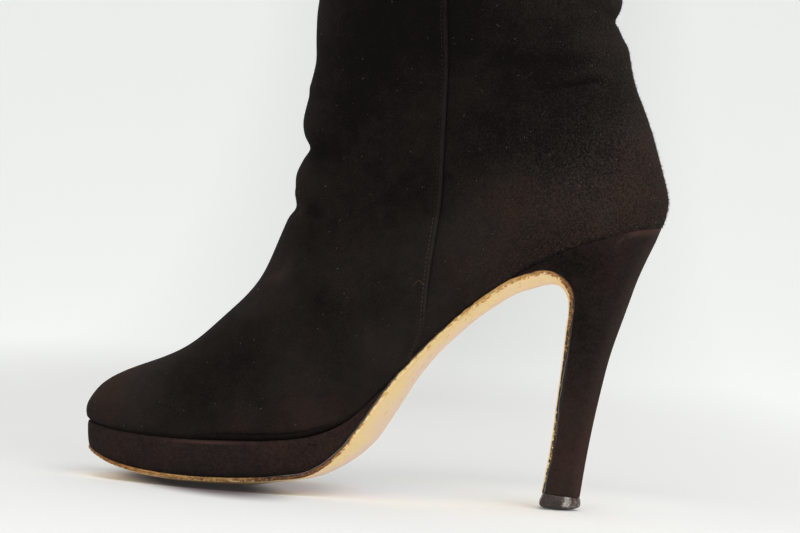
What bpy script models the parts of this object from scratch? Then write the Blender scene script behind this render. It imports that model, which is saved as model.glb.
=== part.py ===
# Over-the-knee suede boot with a covered platform and a high covered heel.
# One right boot.  The origin is the middle of the heel's ground contact, the toe
# points to -Y, the inner (medial) side is +X and +Z is up.
# Tables and sizes are in millimetres or in shares of a driving dimension.

import bmesh
import bpy
import numpy as np

MM = 0.001
MERGE = 0.00001               # metres; border points closer than this are one

# Driving dimensions, in millimetres.
TOE_Y = -190.5                # foremost point of the sole line
LAST_LENGTH = 222.5           # toe to back of the heel seat, along the floor
BALL_WIDTH = 73.8             # full width of the sole line at the ball
SEAT_HEIGHT = 114.4           # floor to the back of the heel seat
INSTEP_HEIGHT = 136.0         # floor to the bend at the front of the ankle
PINCH = 0.05                  # a section narrower than this closes to a point
SLOPE_STEP = 0.001            # share of the length over which a slope is taken
WALL = 2.0                    # suede and lining together
GAP = 0.3                     # clearance between pieces that touch
INSOLE_THICKNESS = 2.5
INSOLE_INSET = 2.5            # insole edge inside the line of the upper's outer face
BOTTOM_CUP = 1.2              # middle of the foot's bottom below its edges
PLATFORM_HEIGHT = 15.5        # sole line to top of the outsole at the ball
TOE_THINNING = 5.0            # platform loses this much at the toe tip
TOE_THINNING_LENGTH = 0.085   # share of the length over which it does
PLATFORM_FADE = (0.39, 0.56)  # shares of the length between which it runs out
TOE_TUCK = 1.5                # underside of the toe tip behind its sole line
TOE_TUCK_LENGTH = 0.03
PLATFORM_BULGE = 1.1          # covered edge swells past the upper
SOLE_EDGE_OUT = 0.3           # outsole past the sole line at the forefoot
SOLE_EDGE_IN = 0.5            # outsole inside the sole line at the waist
CORNER_RADIUS = 12.3          # bend from the waist down into the heel breast
CORNER_CENTRE = (-12.9, 82.3)
CORNER_START = 117.0          # degrees, where the bend leaves the waist
WAIST_END_Y = -28.0           # last row before that bend
BREAST_LEAN = 5.0             # heel breast comes forward this much on its way down
BREAST_CURVE = 1.4            # and does so mostly lower down
HEEL_BACK_POWER = 2.4         # 2 makes the back of a heel section a half circle
CUP_FADE = 5                  # the bottom's cup runs out over this many corner rows
BELLY_POWER = 3               # 2 makes the sole leather's belly a plain arc
TIP_FRONT_TOP = 6.3           # height of the joint over the top piece, front and back
TIP_BACK_TOP = 5.1
LIP_Y = -23.5                 # front edge of the heel's lip under the seat
TOE_ROUND = 20.0              # half width below which sole sections thin out
PLATFORM_TAIL = 0.82          # the platform ends at this share of its fade
TOP_PIECE = (-8.0, 7.7, 7.7)  # front, back and half width of the top piece
TOP_PIECE_EDGE = 1.0          # its worn bottom edge

# Numbers of rows in the facetted surfaces.
SOLE_STATIONS = 23            # from toe to heel, besides the marked ones
ACROSS = 6
CORNER_ROWS = 6
BREAST_ROWS = 6
TOP_PIECE_ROWS = 10
EDGE_ROWS = 4
RINGS_BETWEEN_FOOT_ROWS = 2


def table(columns, rows):
    # A table as named columns.
    values = np.array(rows, dtype=float).T
    return dict(zip(columns.split(), values))


# The line where upper and sole meet.  along: share of LAST_LENGTH from the toe;
# height: share of SEAT_HEIGHT on the inner edge; inner and outer: distance of the
# two edges from the long axis as shares of BALL_WIDTH; lag: how far the outer edge
# runs behind the inner one, in millimetres.
SOLE_LINE = table(
    "along height inner outer lag",
    [
        (0.000, 0.198, 0.088, -0.088, 0.0),
        (0.016, 0.193, 0.224, 0.061, 0.0),
        (0.056, 0.182, 0.335, 0.195, 0.3),
        (0.128, 0.173, 0.417, 0.335, 1.0),
        (0.204, 0.173, 0.463, 0.443, 2.0),
        (0.294, 0.182, 0.484, 0.516, 3.5),
        (0.384, 0.200, 0.455, 0.515, 4.5),
        (0.429, 0.223, 0.420, 0.492, 4.8),
        (0.474, 0.269, 0.382, 0.460, 5.0),
        (0.519, 0.360, 0.345, 0.426, 4.3),
        (0.564, 0.465, 0.316, 0.396, 2.8),
        (0.631, 0.612, 0.294, 0.367, 2.2),
        (0.699, 0.733, 0.297, 0.354, 1.4),
        (0.766, 0.825, 0.320, 0.352, 0.7),
        (0.834, 0.899, 0.346, 0.356, 0.2),
        (0.901, 0.951, 0.331, 0.332, 0.0),
        (0.955, 0.983, 0.250, 0.250, 0.0),
        (1.000, 1.000, 0.000, 0.000, 0.0),
    ],
)

# Rings of the upper from the sole line to the top of the ankle.  front and back:
# share of LAST_LENGTH; front_z and back_z: share of INSTEP_HEIGHT; fore and rear:
# half widths as shares of BALL_WIDTH; round: 0 keeps the sole's plan, 1 is an oval;
# foot: how much of the sole line's arch is left in the ring.
FOOT_RINGS = table(
    "front front_z back back_z fore rear round foot",
    [
        (0.000, 0.167, 1.000, 0.842, 0.500, 0.500, 0.00, 1.00),
        (-0.005, 0.206, 1.005, 0.864, 0.512, 0.518, 0.08, 0.94),
        (0.009, 0.252, 1.008, 0.893, 0.514, 0.535, 0.22, 0.86),
        (0.053, 0.304, 1.008, 0.923, 0.485, 0.556, 0.42, 0.75),
        (0.158, 0.388, 1.002, 0.960, 0.467, 0.556, 0.60, 0.60),
        (0.230, 0.492, 0.993, 1.011, 0.461, 0.542, 0.75, 0.45),
        (0.290, 0.618, 0.982, 1.074, 0.463, 0.522, 0.88, 0.30),
        (0.327, 0.772, 0.964, 1.147, 0.474, 0.508, 0.95, 0.18),
        (0.342, 0.875, 0.947, 1.210, 0.488, 0.501, 1.00, 0.08),
        (0.353, 0.985, 0.932, 1.268, 0.500, 0.504, 1.00, 0.00),
        (0.350, 1.070, 0.919, 1.331, 0.512, 0.512, 1.00, 0.00),
        (0.351, 1.162, 0.903, 1.390, 0.522, 0.522, 1.00, 0.00),
    ],
)

# Rings of the shaft, in millimetres: front and back are places along the boot, width
# is a half width.
SHAFT_RINGS = table(
    "front front_z back back_z width",
    [
        (-111.0, 176.0, 8.5, 200.0, 39.8),
        (-110.6, 205.0, 10.0, 222.0, 41.5),
        (-111.0, 245.0, 14.5, 255.0, 44.5),
        (-112.0, 300.0, 20.5, 305.0, 49.0),
        (-113.0, 360.0, 25.0, 360.0, 52.5),
        (-113.5, 430.0, 24.0, 425.0, 53.5),
        (-114.0, 500.0, 19.0, 488.0, 52.0),
        (-116.0, 560.0, 17.0, 543.0, 54.0),
        (-120.0, 604.0, 20.0, 577.0, 58.0),
        (-124.0, 640.0, 24.0, 602.0, 61.5),
    ],
)

# Rings of the heel, from the top piece up to the seat.  back and back_z: its back
# edge, in millimetres; front: share of the way up the breast and round the corner to
# the lip; width: half width; seat: how much of the seat's plan the ring has.
HEEL_RINGS = table(
    "back back_z front width seat",
    [
        (7.3, 5.4, 0.00, 7.3, 0.00),
        (8.5, 18.0, 0.155, 7.9, 0.00),
        (10.3, 33.0, 0.32, 8.9, 0.00),
        (12.6, 48.0, 0.47, 10.4, 0.05),
        (15.2, 62.0, 0.60, 12.6, 0.10),
        (18.4, 74.0, 0.69, 15.4, 0.20),
        (21.4, 84.5, 0.77, 18.8, 0.35),
        (24.2, 94.0, 0.84, 22.4, 0.60),
        (27.4, 102.5, 0.90, 25.0, 0.85),
        (29.9, 108.6, 1.00, 26.2, 1.00),
    ],
)

RING_NUMBERS = np.arange(len(HEEL_RINGS["front"]), dtype=float)

# Outsole leather along its way: place 0 toe, WAIST_END_PLACE end of the waist, 1 foot
# of the breast; thick at the edge and the extra belly in its middle, in millimetres.
WAIST_END_PLACE = 0.73
SOLE_LEATHER = table(
    "place thick belly",
    [
        (0.00, 1.0, 0.2),
        (0.06, 1.4, 0.5),
        (0.12, 1.6, 1.1),
        (0.20, 1.6, 1.8),
        (0.30, 1.6, 2.7),
        (0.40, 1.8, 2.5),
        (0.47, 1.9, 4.0),
        (0.53, 1.9, 2.6),
        (0.60, 1.8, 1.2),
        (0.73, 1.8, 2.8),
        (0.79, 1.9, 3.4),
        (0.84, 1.9, 1.0),
        (0.88, 1.8, 0.3),
        (1.00, 1.3, 0.2),
    ],
)


def spline(knots, values, at):
    # Natural cubic spline through the points (knots, values), read at the places at.
    count = len(knots)
    step = np.diff(knots)
    slope = np.diff(values) / step
    matrix = np.eye(count)
    right = np.zeros(count)
    for i in range(1, count - 1):
        matrix[i, i - 1:i + 2] = step[i - 1], 2 * (step[i - 1] + step[i]), step[i]
        right[i] = 6 * (slope[i] - slope[i - 1])
    bend = np.linalg.solve(matrix, right)
    at = np.asarray(at, dtype=float)
    i = np.clip(np.searchsorted(knots, at, side="right") - 1, 0, count - 2)
    low = at - knots[i]
    high = knots[i + 1] - at
    curve = (bend[i] * high**3 + bend[i + 1] * low**3) / (6 * step[i])
    line_low = (values[i] / step[i] - bend[i] * step[i] / 6) * high
    line_high = (values[i + 1] / step[i] - bend[i + 1] * step[i] / 6) * low
    return curve + line_low + line_high


def smooth_step(x):
    x = np.clip(x, 0.0, 1.0)
    return x * x * (3 - 2 * x)


def angle_of(along):
    # Angle round the plan: 0 at the toe tip, pi at the back of the heel.
    return np.arccos(1 - 2 * np.clip(along, 0.0, 1.0))


def along_of(angle):
    return (1 - np.cos(angle)) / 2


def station_angles():
    # Stations from toe to heel that every piece shares, so that facets lie parallel.
    start, end = PLATFORM_FADE
    marks = np.array([start + (end - start) * PLATFORM_TAIL,
                      (WAIST_END_Y - TOE_Y) / LAST_LENGTH,
                      (LIP_Y - TOE_Y) / LAST_LENGTH])
    return np.sort(np.concatenate([np.linspace(0, np.pi, SOLE_STATIONS), angle_of(marks)]))


def stations_between(first_y, last_y):
    # Shares of the length of the stations from one place to another.
    along = along_of(station_angles())
    y = TOE_Y + along * LAST_LENGTH
    return along[(y > first_y - PINCH) & (y < last_y + PINCH)]


def sole_line(along):
    # Side view, centre, half width and lag of the sole line at shares of the length,
    # and the upright clearance that leaves GAP square to its slope.
    knots = angle_of(SOLE_LINE["along"])
    angle = angle_of(along)
    height = spline(SOLE_LINE["along"], SOLE_LINE["height"], along)
    ahead = spline(SOLE_LINE["along"], SOLE_LINE["height"], along + SLOPE_STEP)
    slope = (ahead - height) * SEAT_HEIGHT / (SLOPE_STEP * LAST_LENGTH)
    inner = spline(knots, SOLE_LINE["inner"], angle) * BALL_WIDTH
    outer = spline(knots, SOLE_LINE["outer"], angle) * BALL_WIDTH
    return {
        "y": TOE_Y + along * LAST_LENGTH,
        "z": height * SEAT_HEIGHT,
        "centre": (inner - outer) / 2,
        "half": np.maximum((inner + outer) / 2, 0.0),
        "lag": spline(SOLE_LINE["along"], SOLE_LINE["lag"], along),
        "clear": GAP * np.sqrt(1 + slope**2),
    }


def edges(y, z, centre, half, lag):
    # Outer and inner edge of a sole section at each station.
    outer = np.stack([centre - half, y + lag, z], axis=1)
    inner = np.stack([centre + half, y, z], axis=1)
    return outer, inner


def pinched(grid):
    # An end row that has closed to nothing is made exactly one point.
    for row in (0, -1):
        if np.ptp(grid[row, :, 0]) < PINCH:
            grid[row] = grid[row].mean(axis=0)
    return grid


def lowered(grid, amount):
    # The grid moved down and out of the boot along its side-view normals.  Rows run
    # from the toe backwards; amount is one number or one for each point.
    dy = np.gradient(grid[:, :, 1], axis=0)
    dz = np.gradient(grid[:, :, 2], axis=0)
    length = np.hypot(dy, dz)
    moved = grid.copy()
    moved[:, :, 1] += amount * dz / length
    moved[:, :, 2] -= amount * dy / length
    return pinched(moved)


def sheet(outer, inner, hang):
    # A sheet across the boot: a row for each station, columns from the outer to the
    # inner edge.  Its middle hangs below the edges by hang.
    across = np.linspace(-1, 1, ACROSS + 1)
    share = ((1 + across) / 2)[None, :, None]
    grid = outer[:, None] * (1 - share) + inner[:, None] * share
    grid[:, :, 2] -= np.outer(hang, 1 - across**2)
    return pinched(grid)


def ladder(first, second, swell=None, rows=1):
    # Wall between two lines of points.  swell moves its middle out, for each point.
    share = np.linspace(0, 1, rows + 1)[:, None, None]
    wall = first[None] * (1 - share) + second[None] * share
    if swell is not None:
        wall = wall + np.sqrt(4 * share * (1 - share)) * swell[None]
    return wall


def solid(name, grids, colour, roughness):
    # One closed body from surface grids that share their borders.
    mesh = bmesh.new()
    for grid in grids:
        rows, columns = grid.shape[:2]
        points = [mesh.verts.new(point) for point in grid.reshape(-1, 3) * MM]
        for i in range(rows - 1):
            for j in range(columns - 1):
                a = i * columns + j
                b = a + columns
                mesh.faces.new([points[a], points[a + 1], points[b + 1], points[b]])
    bmesh.ops.remove_doubles(mesh, verts=mesh.verts, dist=MERGE)
    bmesh.ops.dissolve_degenerate(mesh, edges=mesh.edges, dist=MERGE)
    bmesh.ops.triangulate(mesh, faces=mesh.faces)
    bmesh.ops.recalc_face_normals(mesh, faces=mesh.faces)
    data = bpy.data.meshes.new(name)
    mesh.to_mesh(data)
    mesh.free()
    data.shade_smooth()
    data.set_sharp_from_angle(angle=np.radians(40))
    piece = bpy.data.objects.new(name, data)
    bpy.context.scene.collection.objects.link(piece)
    material = bpy.data.materials.new(name + "_material")
    material.use_nodes = True
    shader = material.node_tree.nodes["Principled BSDF"]
    shader.inputs["Base Color"].default_value = (*colour, 1.0)
    shader.inputs["Roughness"].default_value = roughness
    shader.inputs["Metallic"].default_value = 0.0
    data.materials.append(material)
    return piece


def platform_drop(along):
    # Height of the platform between the sole line and the outsole.
    full = PLATFORM_HEIGHT - TOE_THINNING * np.exp(-along / TOE_THINNING_LENGTH)
    start, end = PLATFORM_FADE
    return full * (1 - smooth_step((along - start) / (end - start)))


def toe_tuck(along):
    # How far the underside of the toe stands behind the sole line.
    return TOE_TUCK * np.exp(-along / TOE_TUCK_LENGTH)


def section_shape(half):
    # 1 where a sole section is broad, falling to 0 where it closes at toe or heel.
    return np.minimum(half / TOE_ROUND, 1)


def outsole_path():
    # Upper face of the outsole on its inner edge: forefoot and waist below the sole
    # line, then round the corner and down the breast of the heel.  cup: how far its
    # middle hangs below its edges.
    along = stations_between(TOE_Y, WAIST_END_Y)
    line = sole_line(along)
    bend = np.radians(np.linspace(CORNER_START, 0, CORNER_ROWS))
    corner_y = CORNER_CENTRE[0] + CORNER_RADIUS * np.cos(bend)
    corner_z = CORNER_CENTRE[1] + CORNER_RADIUS * np.sin(bend)
    share = np.linspace(0, 1, BREAST_ROWS + 1)[1:]
    breast_y = corner_y[-1] - BREAST_LEAN * share**BREAST_CURVE
    breast_z = corner_z[-1] + (TIP_FRONT_TOP + GAP - corner_z[-1]) * share
    foot_z = line["z"] - platform_drop(along)
    lip_z = np.interp(LIP_Y, [line["y"][-1], corner_y[0]], [foot_z[-1], corner_z[0]])
    y = np.concatenate([line["y"] + toe_tuck(along), [LIP_Y], corner_y, breast_y])
    z = np.concatenate([foot_z, [lip_z], corner_z, breast_z])
    cup = BOTTOM_CUP * (1 - smooth_step((np.arange(len(y)) - len(along)) / CUP_FADE))
    return {"along": along, "foot": line, "y": y, "z": z, "cup": cup}


def heel_front(path):
    # The stretch of that path that the heel stands behind, from its foot up to the
    # lip, with the share of its length at each point.
    y, z, cup = (path[key][len(path["along"]):][::-1] for key in ("y", "z", "cup"))
    length = np.concatenate([[0], np.cumsum(np.hypot(np.diff(y), np.diff(z)))])
    return {"y": y, "z": z, "cup": cup, "share": length / length[-1]}


def ring_at(front_share):
    # Place among HEEL_RINGS of a share of the way up the heel's front.
    return np.interp(front_share, HEEL_RINGS["front"], RING_NUMBERS)


def seat_plan():
    # Sole line over the heel seat, from the lip to the back.
    return sole_line(stations_between(LIP_Y, TOE_Y + LAST_LENGTH))


def heel_section(ring):
    # Half widths of the heel from front to back; its plan grows from a D at the top
    # piece into the seat's.
    plan = seat_plan()
    depth = (plan["y"] - plan["y"][0]) / (plan["y"][-1] - plan["y"][0])
    width = spline(RING_NUMBERS, HEEL_RINGS["width"], ring)
    seat = np.clip(spline(RING_NUMBERS, HEEL_RINGS["seat"], ring), 0, 1)
    round_back = np.sqrt(np.maximum(1 - depth**HEEL_BACK_POWER, 0))
    seat_shape = plan["half"] / np.max(plan["half"])
    half = width * ((1 - seat) * round_back + seat * seat_shape)
    return depth, half, seat, plan


def make_outsole(path):
    foot = path["foot"]
    foot_count = len(path["along"])
    front = heel_front(path)
    behind = len(path["y"]) - foot_count
    start, end = PLATFORM_FADE
    tuck = smooth_step((path["along"] - start) / (end - start))
    tuck = SOLE_EDGE_OUT * (1 - tuck) - SOLE_EDGE_IN * tuck
    foot_half = foot["half"] + tuck * section_shape(foot["half"])
    sections = [heel_section(ring) for ring in ring_at(front["share"][::-1])]
    half = np.concatenate([foot_half, [half[0] for _, half, _, _ in sections]])
    centre = [seat * plan["centre"][0] for _, _, seat, plan in sections]
    centre = np.concatenate([foot["centre"], centre])
    lag = np.concatenate([foot["lag"], [seat * plan["lag"][0] for _, _, seat, plan in sections]])
    later = np.linspace(WAIST_END_PLACE, 1, behind + 1)[1:]
    place = np.concatenate([path["along"], later])
    shape = section_shape(half)
    outer, inner = edges(path["y"], path["z"], centre, half, lag)
    top = lowered(sheet(outer, inner, path["cup"] * shape), GAP)
    across = np.linspace(-1, 1, ACROSS + 1)
    thick = np.interp(place, SOLE_LEATHER["place"], SOLE_LEATHER["thick"])
    belly = np.interp(place, SOLE_LEATHER["place"], SOLE_LEATHER["belly"])
    belly[:foot_count] *= shape[:foot_count]
    bottom = lowered(top, thick[:, None] + np.outer(belly, 1 - np.abs(across)**BELLY_POWER))
    bottom[:, :, 2] = np.maximum(bottom[:, :, 2], 0.0)
    grids = [top, bottom, ladder(top[:, 0], bottom[:, 0])]
    grids += [ladder(top[:, -1], bottom[:, -1]), ladder(top[-1], bottom[-1])]
    return solid("outsole", grids, (0.72, 0.52, 0.32), 0.5)


def make_platform():
    # Covered platform between the sole line and the outsole, out to its thin tail.
    start, end = PLATFORM_FADE
    tail = start + (end - start) * PLATFORM_TAIL
    along = stations_between(TOE_Y, TOE_Y + tail * LAST_LENGTH)
    line = sole_line(along)
    drop = platform_drop(along)
    shape = section_shape(line["half"])
    fields = line["centre"], line["half"], line["lag"]
    top = sheet(*edges(line["y"], line["z"] - line["clear"], *fields), BOTTOM_CUP * shape)
    under_y = line["y"] + toe_tuck(along)
    bottom = sheet(*edges(under_y, line["z"] - drop, *fields), BOTTOM_CUP * shape)
    swell = PLATFORM_BULGE * drop / PLATFORM_HEIGHT
    sideways = np.stack([swell * shape, -swell * (1 - shape), swell * 0], axis=1)
    mirrored = sideways * [-1, 1, 1]
    tail_swell = np.linspace(mirrored[-1], sideways[-1], ACROSS + 1)
    grids = [top, bottom, ladder(top[-1], bottom[-1], tail_swell, EDGE_ROWS)]
    grids += [ladder(top[:, -1], bottom[:, -1], sideways, EDGE_ROWS)]
    grids += [ladder(top[:, 0], bottom[:, 0], mirrored, EDGE_ROWS)]
    return solid("platform", grids, (0.022, 0.014, 0.012), 0.95)


def inset_edge(edge, side):
    # A sole edge moved inwards in plan; side is 1 on the inner edge, -1 on the outer.
    dx = np.gradient(edge[:, 0])
    dy = np.gradient(edge[:, 1])
    dx[[0, -1]] = [side, -side]
    dy[[0, -1]] = 0
    length = np.hypot(dx, dy)
    moved = edge.copy()
    moved[:, 0] -= side * INSOLE_INSET * dy / length
    moved[:, 1] += side * INSOLE_INSET * dx / length
    return moved


def make_insole():
    # Insole inside the upper, on the same cupped bottom as platform and seat.
    stations = along_of(station_angles())
    line = sole_line(stations)
    rims = edges(line["y"], line["z"], line["centre"], line["half"], line["lag"])
    inset = INSOLE_INSET / LAST_LENGTH
    line = sole_line(np.unique(np.clip(stations, inset, 1 - inset)))
    places = line["y"] + line["lag"], line["y"]
    outer, inner = (
        np.stack([np.interp(y, *inset_edge(rim, side).T[1::-1]), y, line["z"]], axis=1)
        for y, rim, side in zip(places, rims, (-1, 1))
    )
    half = np.maximum(inner[:, 0] - outer[:, 0], 0) / 2
    bottom = sheet(outer, inner, BOTTOM_CUP * section_shape(half))
    top = lowered(bottom, -INSOLE_THICKNESS)
    grids = [top, bottom, ladder(top[:, 0], bottom[:, 0]), ladder(top[:, -1], bottom[:, -1])]
    return solid("insole", grids, (0.30, 0.22, 0.16), 0.7)


def make_heel(path):
    # Covered heel: rings from the top piece up the breast and round to the lip, then
    # the seat itself.
    front = heel_front(path)
    rings = []
    for front_y, front_z, cup, share in zip(*(front[key] for key in ("y", "z", "cup", "share"))):
        ring = ring_at(share)
        depth, half, seat, plan = heel_section(ring)
        back_y = spline(RING_NUMBERS, HEEL_RINGS["back"], ring)
        back_z = spline(RING_NUMBERS, HEEL_RINGS["back_z"], ring)
        chord_z = plan["z"][0] + (plan["z"][-1] - plan["z"][0]) * depth
        ring_y = front_y + (back_y - front_y) * depth
        ring_z = front_z + (back_z - front_z) * depth + seat * (plan["z"] - chord_z)
        outer, inner = edges(ring_y, ring_z, plan["centre"] * seat, half, plan["lag"] * seat)
        rings.append(sheet(outer, inner, cup * section_shape(half)))
    plan = seat_plan()
    top_z = plan["z"] - plan["clear"]
    outer, inner = edges(plan["y"], top_z, plan["centre"], plan["half"], plan["lag"])
    rings.append(sheet(outer, inner, BOTTOM_CUP * section_shape(plan["half"])))
    rings = np.array(rings)
    grids = [rings[:, 0], rings[:, :, 0], rings[:, :, -1], rings[0], rings[-1]]
    return solid("heel", grids, (0.026, 0.016, 0.014), 0.95)


def make_top_piece():
    # Moulded lift under the heel: a D with its flat side forward and a worn edge.
    front, back, half = TOP_PIECE
    depth = along_of(np.linspace(0, np.pi, TOP_PIECE_ROWS))
    joint = TIP_FRONT_TOP + (TIP_BACK_TOP - TIP_FRONT_TOP) * depth
    levels = ((depth * 0, TOP_PIECE_EDGE), (depth * 0 + TOP_PIECE_EDGE, 0.0), (joint, 0.0))
    rings = []
    for height, inset in levels:
        y = front + inset + (back - front - 2 * inset) * depth
        width = (half - inset) * np.sqrt(np.maximum(1 - depth**HEEL_BACK_POWER, 0))
        outer, inner = edges(y, height, depth * 0, width, depth * 0)
        rings.append(sheet(outer, inner, depth * 0))
    rings = np.array(rings)
    grids = [rings[:, 0], rings[:, :, 0], rings[:, :, -1], rings[0], rings[-1]]
    return solid("top_piece", grids, (0.030, 0.020, 0.017), 0.25)


def upper_rings():
    # All rings of the upper in millimetres, from the sole line to the collar.
    foot = FOOT_RINGS
    shaft = SHAFT_RINGS
    ones = np.ones_like(shaft["front"])
    return {
        "front": np.concatenate([TOE_Y + foot["front"] * LAST_LENGTH, shaft["front"]]),
        "front_z": np.concatenate([foot["front_z"] * INSTEP_HEIGHT, shaft["front_z"]]),
        "back": np.concatenate([TOE_Y + foot["back"] * LAST_LENGTH, shaft["back"]]),
        "back_z": np.concatenate([foot["back_z"] * INSTEP_HEIGHT, shaft["back_z"]]),
        "fore": np.concatenate([foot["fore"] * BALL_WIDTH, shaft["width"]]),
        "rear": np.concatenate([foot["rear"] * BALL_WIDTH, shaft["width"]]),
        "round": np.concatenate([foot["round"], ones]),
        "foot": np.concatenate([foot["foot"], ones * 0]),
    }


def upper_surface(levels, angles):
    # Outer face of the upper: a row for each level, a column for each angle round the
    # plan (0 toe, pi heel, then back along the outer side).
    rings = upper_rings()
    numbers = np.arange(len(rings["front"]), dtype=float)
    ring = {key: spline(numbers, values, levels)[:, None] for key, values in rings.items()}
    roundness = np.clip(ring["round"], 0, 1)
    foot = np.clip(ring["foot"], 0, 1)
    outer_side = (angles > np.pi)[None, :]
    along = along_of(angles)
    line = sole_line(along)
    toe = sole_line(np.array([0.0, 1.0]))
    chord_z = toe["z"][0] * (1 - along) + toe["z"][1] * along
    arch = (line["z"] - chord_z)[None, :]
    y = ring["front"] * (1 - along) + ring["back"] * along
    z = ring["front_z"] * (1 - along) + ring["back_z"] * along + foot * arch
    y = y + np.where(outer_side, line["lag"][None, :] * foot, 0.0)
    plan = line["half"] / np.max(line["half"])
    shape = (1 - roundness) * plan + roundness * np.sin(np.where(outer_side, -angles, angles))
    reach = smooth_step(along)[None, :]
    width = shape * (ring["fore"] * (1 - reach) + ring["rear"] * reach)
    x = line["centre"][None, :] * foot + np.where(outer_side, -width, width)
    return np.stack([x, y, z], axis=2)


def make_upper():
    # One hollow wall from the sole line to the collar, open at both.
    foot_count = len(FOOT_RINGS["front"])
    total = foot_count + len(SHAFT_RINGS["front"])
    foot_levels = np.linspace(0, foot_count - 1, (foot_count - 1) * RINGS_BETWEEN_FOOT_ROWS + 1)
    levels = np.concatenate([foot_levels, np.arange(foot_count, total)])
    half_round = station_angles()
    angles = np.concatenate([half_round, 2 * np.pi - half_round[-2::-1]])
    outside = upper_surface(levels, angles)
    outside[:, -1] = outside[:, 0]
    round_step = np.roll(outside[:, :-1], -1, axis=1) - np.roll(outside[:, :-1], 1, axis=1)
    rise_step = np.gradient(outside[:, :-1], axis=0)
    normal = np.cross(round_step, rise_step)
    normal /= np.linalg.norm(normal, axis=2)[:, :, None]
    inside = outside[:, :-1] - normal * WALL
    inside = np.concatenate([inside, inside[:, :1]], axis=1)
    grids = [outside, inside, ladder(outside[0], inside[0]), ladder(outside[-1], inside[-1])]
    return solid("upper", grids, (0.018, 0.012, 0.010), 0.95)


def main():
    for old in list(bpy.data.objects):
        bpy.data.objects.remove(old, do_unlink=True)
    path = outsole_path()
    make_upper()
    make_insole()
    make_platform()
    make_outsole(path)
    make_heel(path)
    make_top_piece()


main()
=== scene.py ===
from functools import partial

import bmesh
import bpy
import numpy as np
from mathutils import Matrix, Vector


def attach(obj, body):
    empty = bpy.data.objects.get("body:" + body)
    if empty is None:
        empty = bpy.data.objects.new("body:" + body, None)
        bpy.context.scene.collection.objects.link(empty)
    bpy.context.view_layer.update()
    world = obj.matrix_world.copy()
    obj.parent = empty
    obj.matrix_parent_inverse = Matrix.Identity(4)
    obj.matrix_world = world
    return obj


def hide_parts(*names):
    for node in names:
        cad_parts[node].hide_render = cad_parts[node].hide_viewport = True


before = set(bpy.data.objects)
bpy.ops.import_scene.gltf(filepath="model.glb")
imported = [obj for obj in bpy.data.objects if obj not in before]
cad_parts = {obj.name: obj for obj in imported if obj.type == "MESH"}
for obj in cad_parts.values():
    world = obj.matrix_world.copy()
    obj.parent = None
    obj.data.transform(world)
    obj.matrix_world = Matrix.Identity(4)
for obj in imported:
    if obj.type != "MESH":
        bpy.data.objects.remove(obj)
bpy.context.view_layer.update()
print("frame loaded: " + ", ".join(sorted(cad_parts)))

mm = 0.001

boot = {
    "toeY": -190.5,  # foremost point of the sole line
    "lastLength": 222.5,
    "ballWidth": 73.8,
    "seatHeight": 114.4,
    "instepHeight": 136.0,
    "gap": 0.05,  # pieces that touch
    "bottomCup": 1.2,  # middle of the foot's bottom below its edges
    "toeRound": 20.0,  # half width below which sole sections thin out
}


def table(text):
    # Rows of numbers under their names, as columns.
    names, *rows = text.split("\n    ")[1:]
    values = np.array([row.split() for row in rows], dtype=float).T
    return dict(zip(names.split(), values))


# The line where upper and sole meet, as shares of the last's length, of the seat
# height and of the ball width; lag in mm: how far the outer edge runs behind.
soleLineTable = table("""
    along height inner outer lag
    0 0.198 0.088 -0.088 0
    0.016 0.193 0.224 0.061 0
    0.056 0.182 0.335 0.195 0.3
    0.128 0.173 0.417 0.335 1
    0.204 0.173 0.463 0.443 2
    0.294 0.182 0.484 0.516 3.5
    0.384 0.2 0.455 0.515 4.5
    0.429 0.223 0.42 0.492 4.8
    0.474 0.269 0.382 0.46 5
    0.519 0.36 0.345 0.426 4.3
    0.564 0.465 0.316 0.396 2.8
    0.631 0.612 0.294 0.367 2.2
    0.699 0.733 0.297 0.354 1.4
    0.766 0.825 0.32 0.352 0.7
    0.834 0.899 0.346 0.356 0.2
    0.901 0.951 0.331 0.332 0
    0.955 0.983 0.25 0.25 0
    1 1 0 0 0""")

# Rings of the upper from the sole line to the top of the ankle.
footRings = table("""
    front frontZ back backZ fore rear round foot
    0 0.167 1 0.842 0.5 0.5 0 1
    -0.005 0.206 1.005 0.864 0.512 0.518 0.08 0.94
    0.009 0.252 1.008 0.893 0.514 0.535 0.22 0.86
    0.053 0.304 1.008 0.923 0.485 0.556 0.42 0.75
    0.158 0.388 1.002 0.96 0.467 0.556 0.6 0.6
    0.23 0.492 0.993 1.011 0.461 0.542 0.75 0.45
    0.29 0.618 0.982 1.074 0.463 0.522 0.88 0.3
    0.327 0.772 0.964 1.147 0.474 0.508 0.95 0.18
    0.342 0.875 0.947 1.21 0.488 0.501 1 0.08
    0.353 0.985 0.932 1.268 0.5 0.504 1 0
    0.35 1.07 0.919 1.331 0.512 0.512 1 0
    0.351 1.162 0.903 1.39 0.522 0.522 1 0""")

# Rings of the shaft, in millimetres: width is a half width.
shaftRings = table("""
    front frontZ back backZ width
    -111 176 8.5 200 39.8
    -110.6 205 10 222 41.5
    -111 245 14.5 255 44.5
    -112 300 20.5 305 49
    -113 360 25 360 52.5
    -113.5 430 24 425 53.5
    -114 500 19 488 52
    -116 560 17 543 54
    -120 604 20 577 58
    -124 640 24 602 61.5""")


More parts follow.
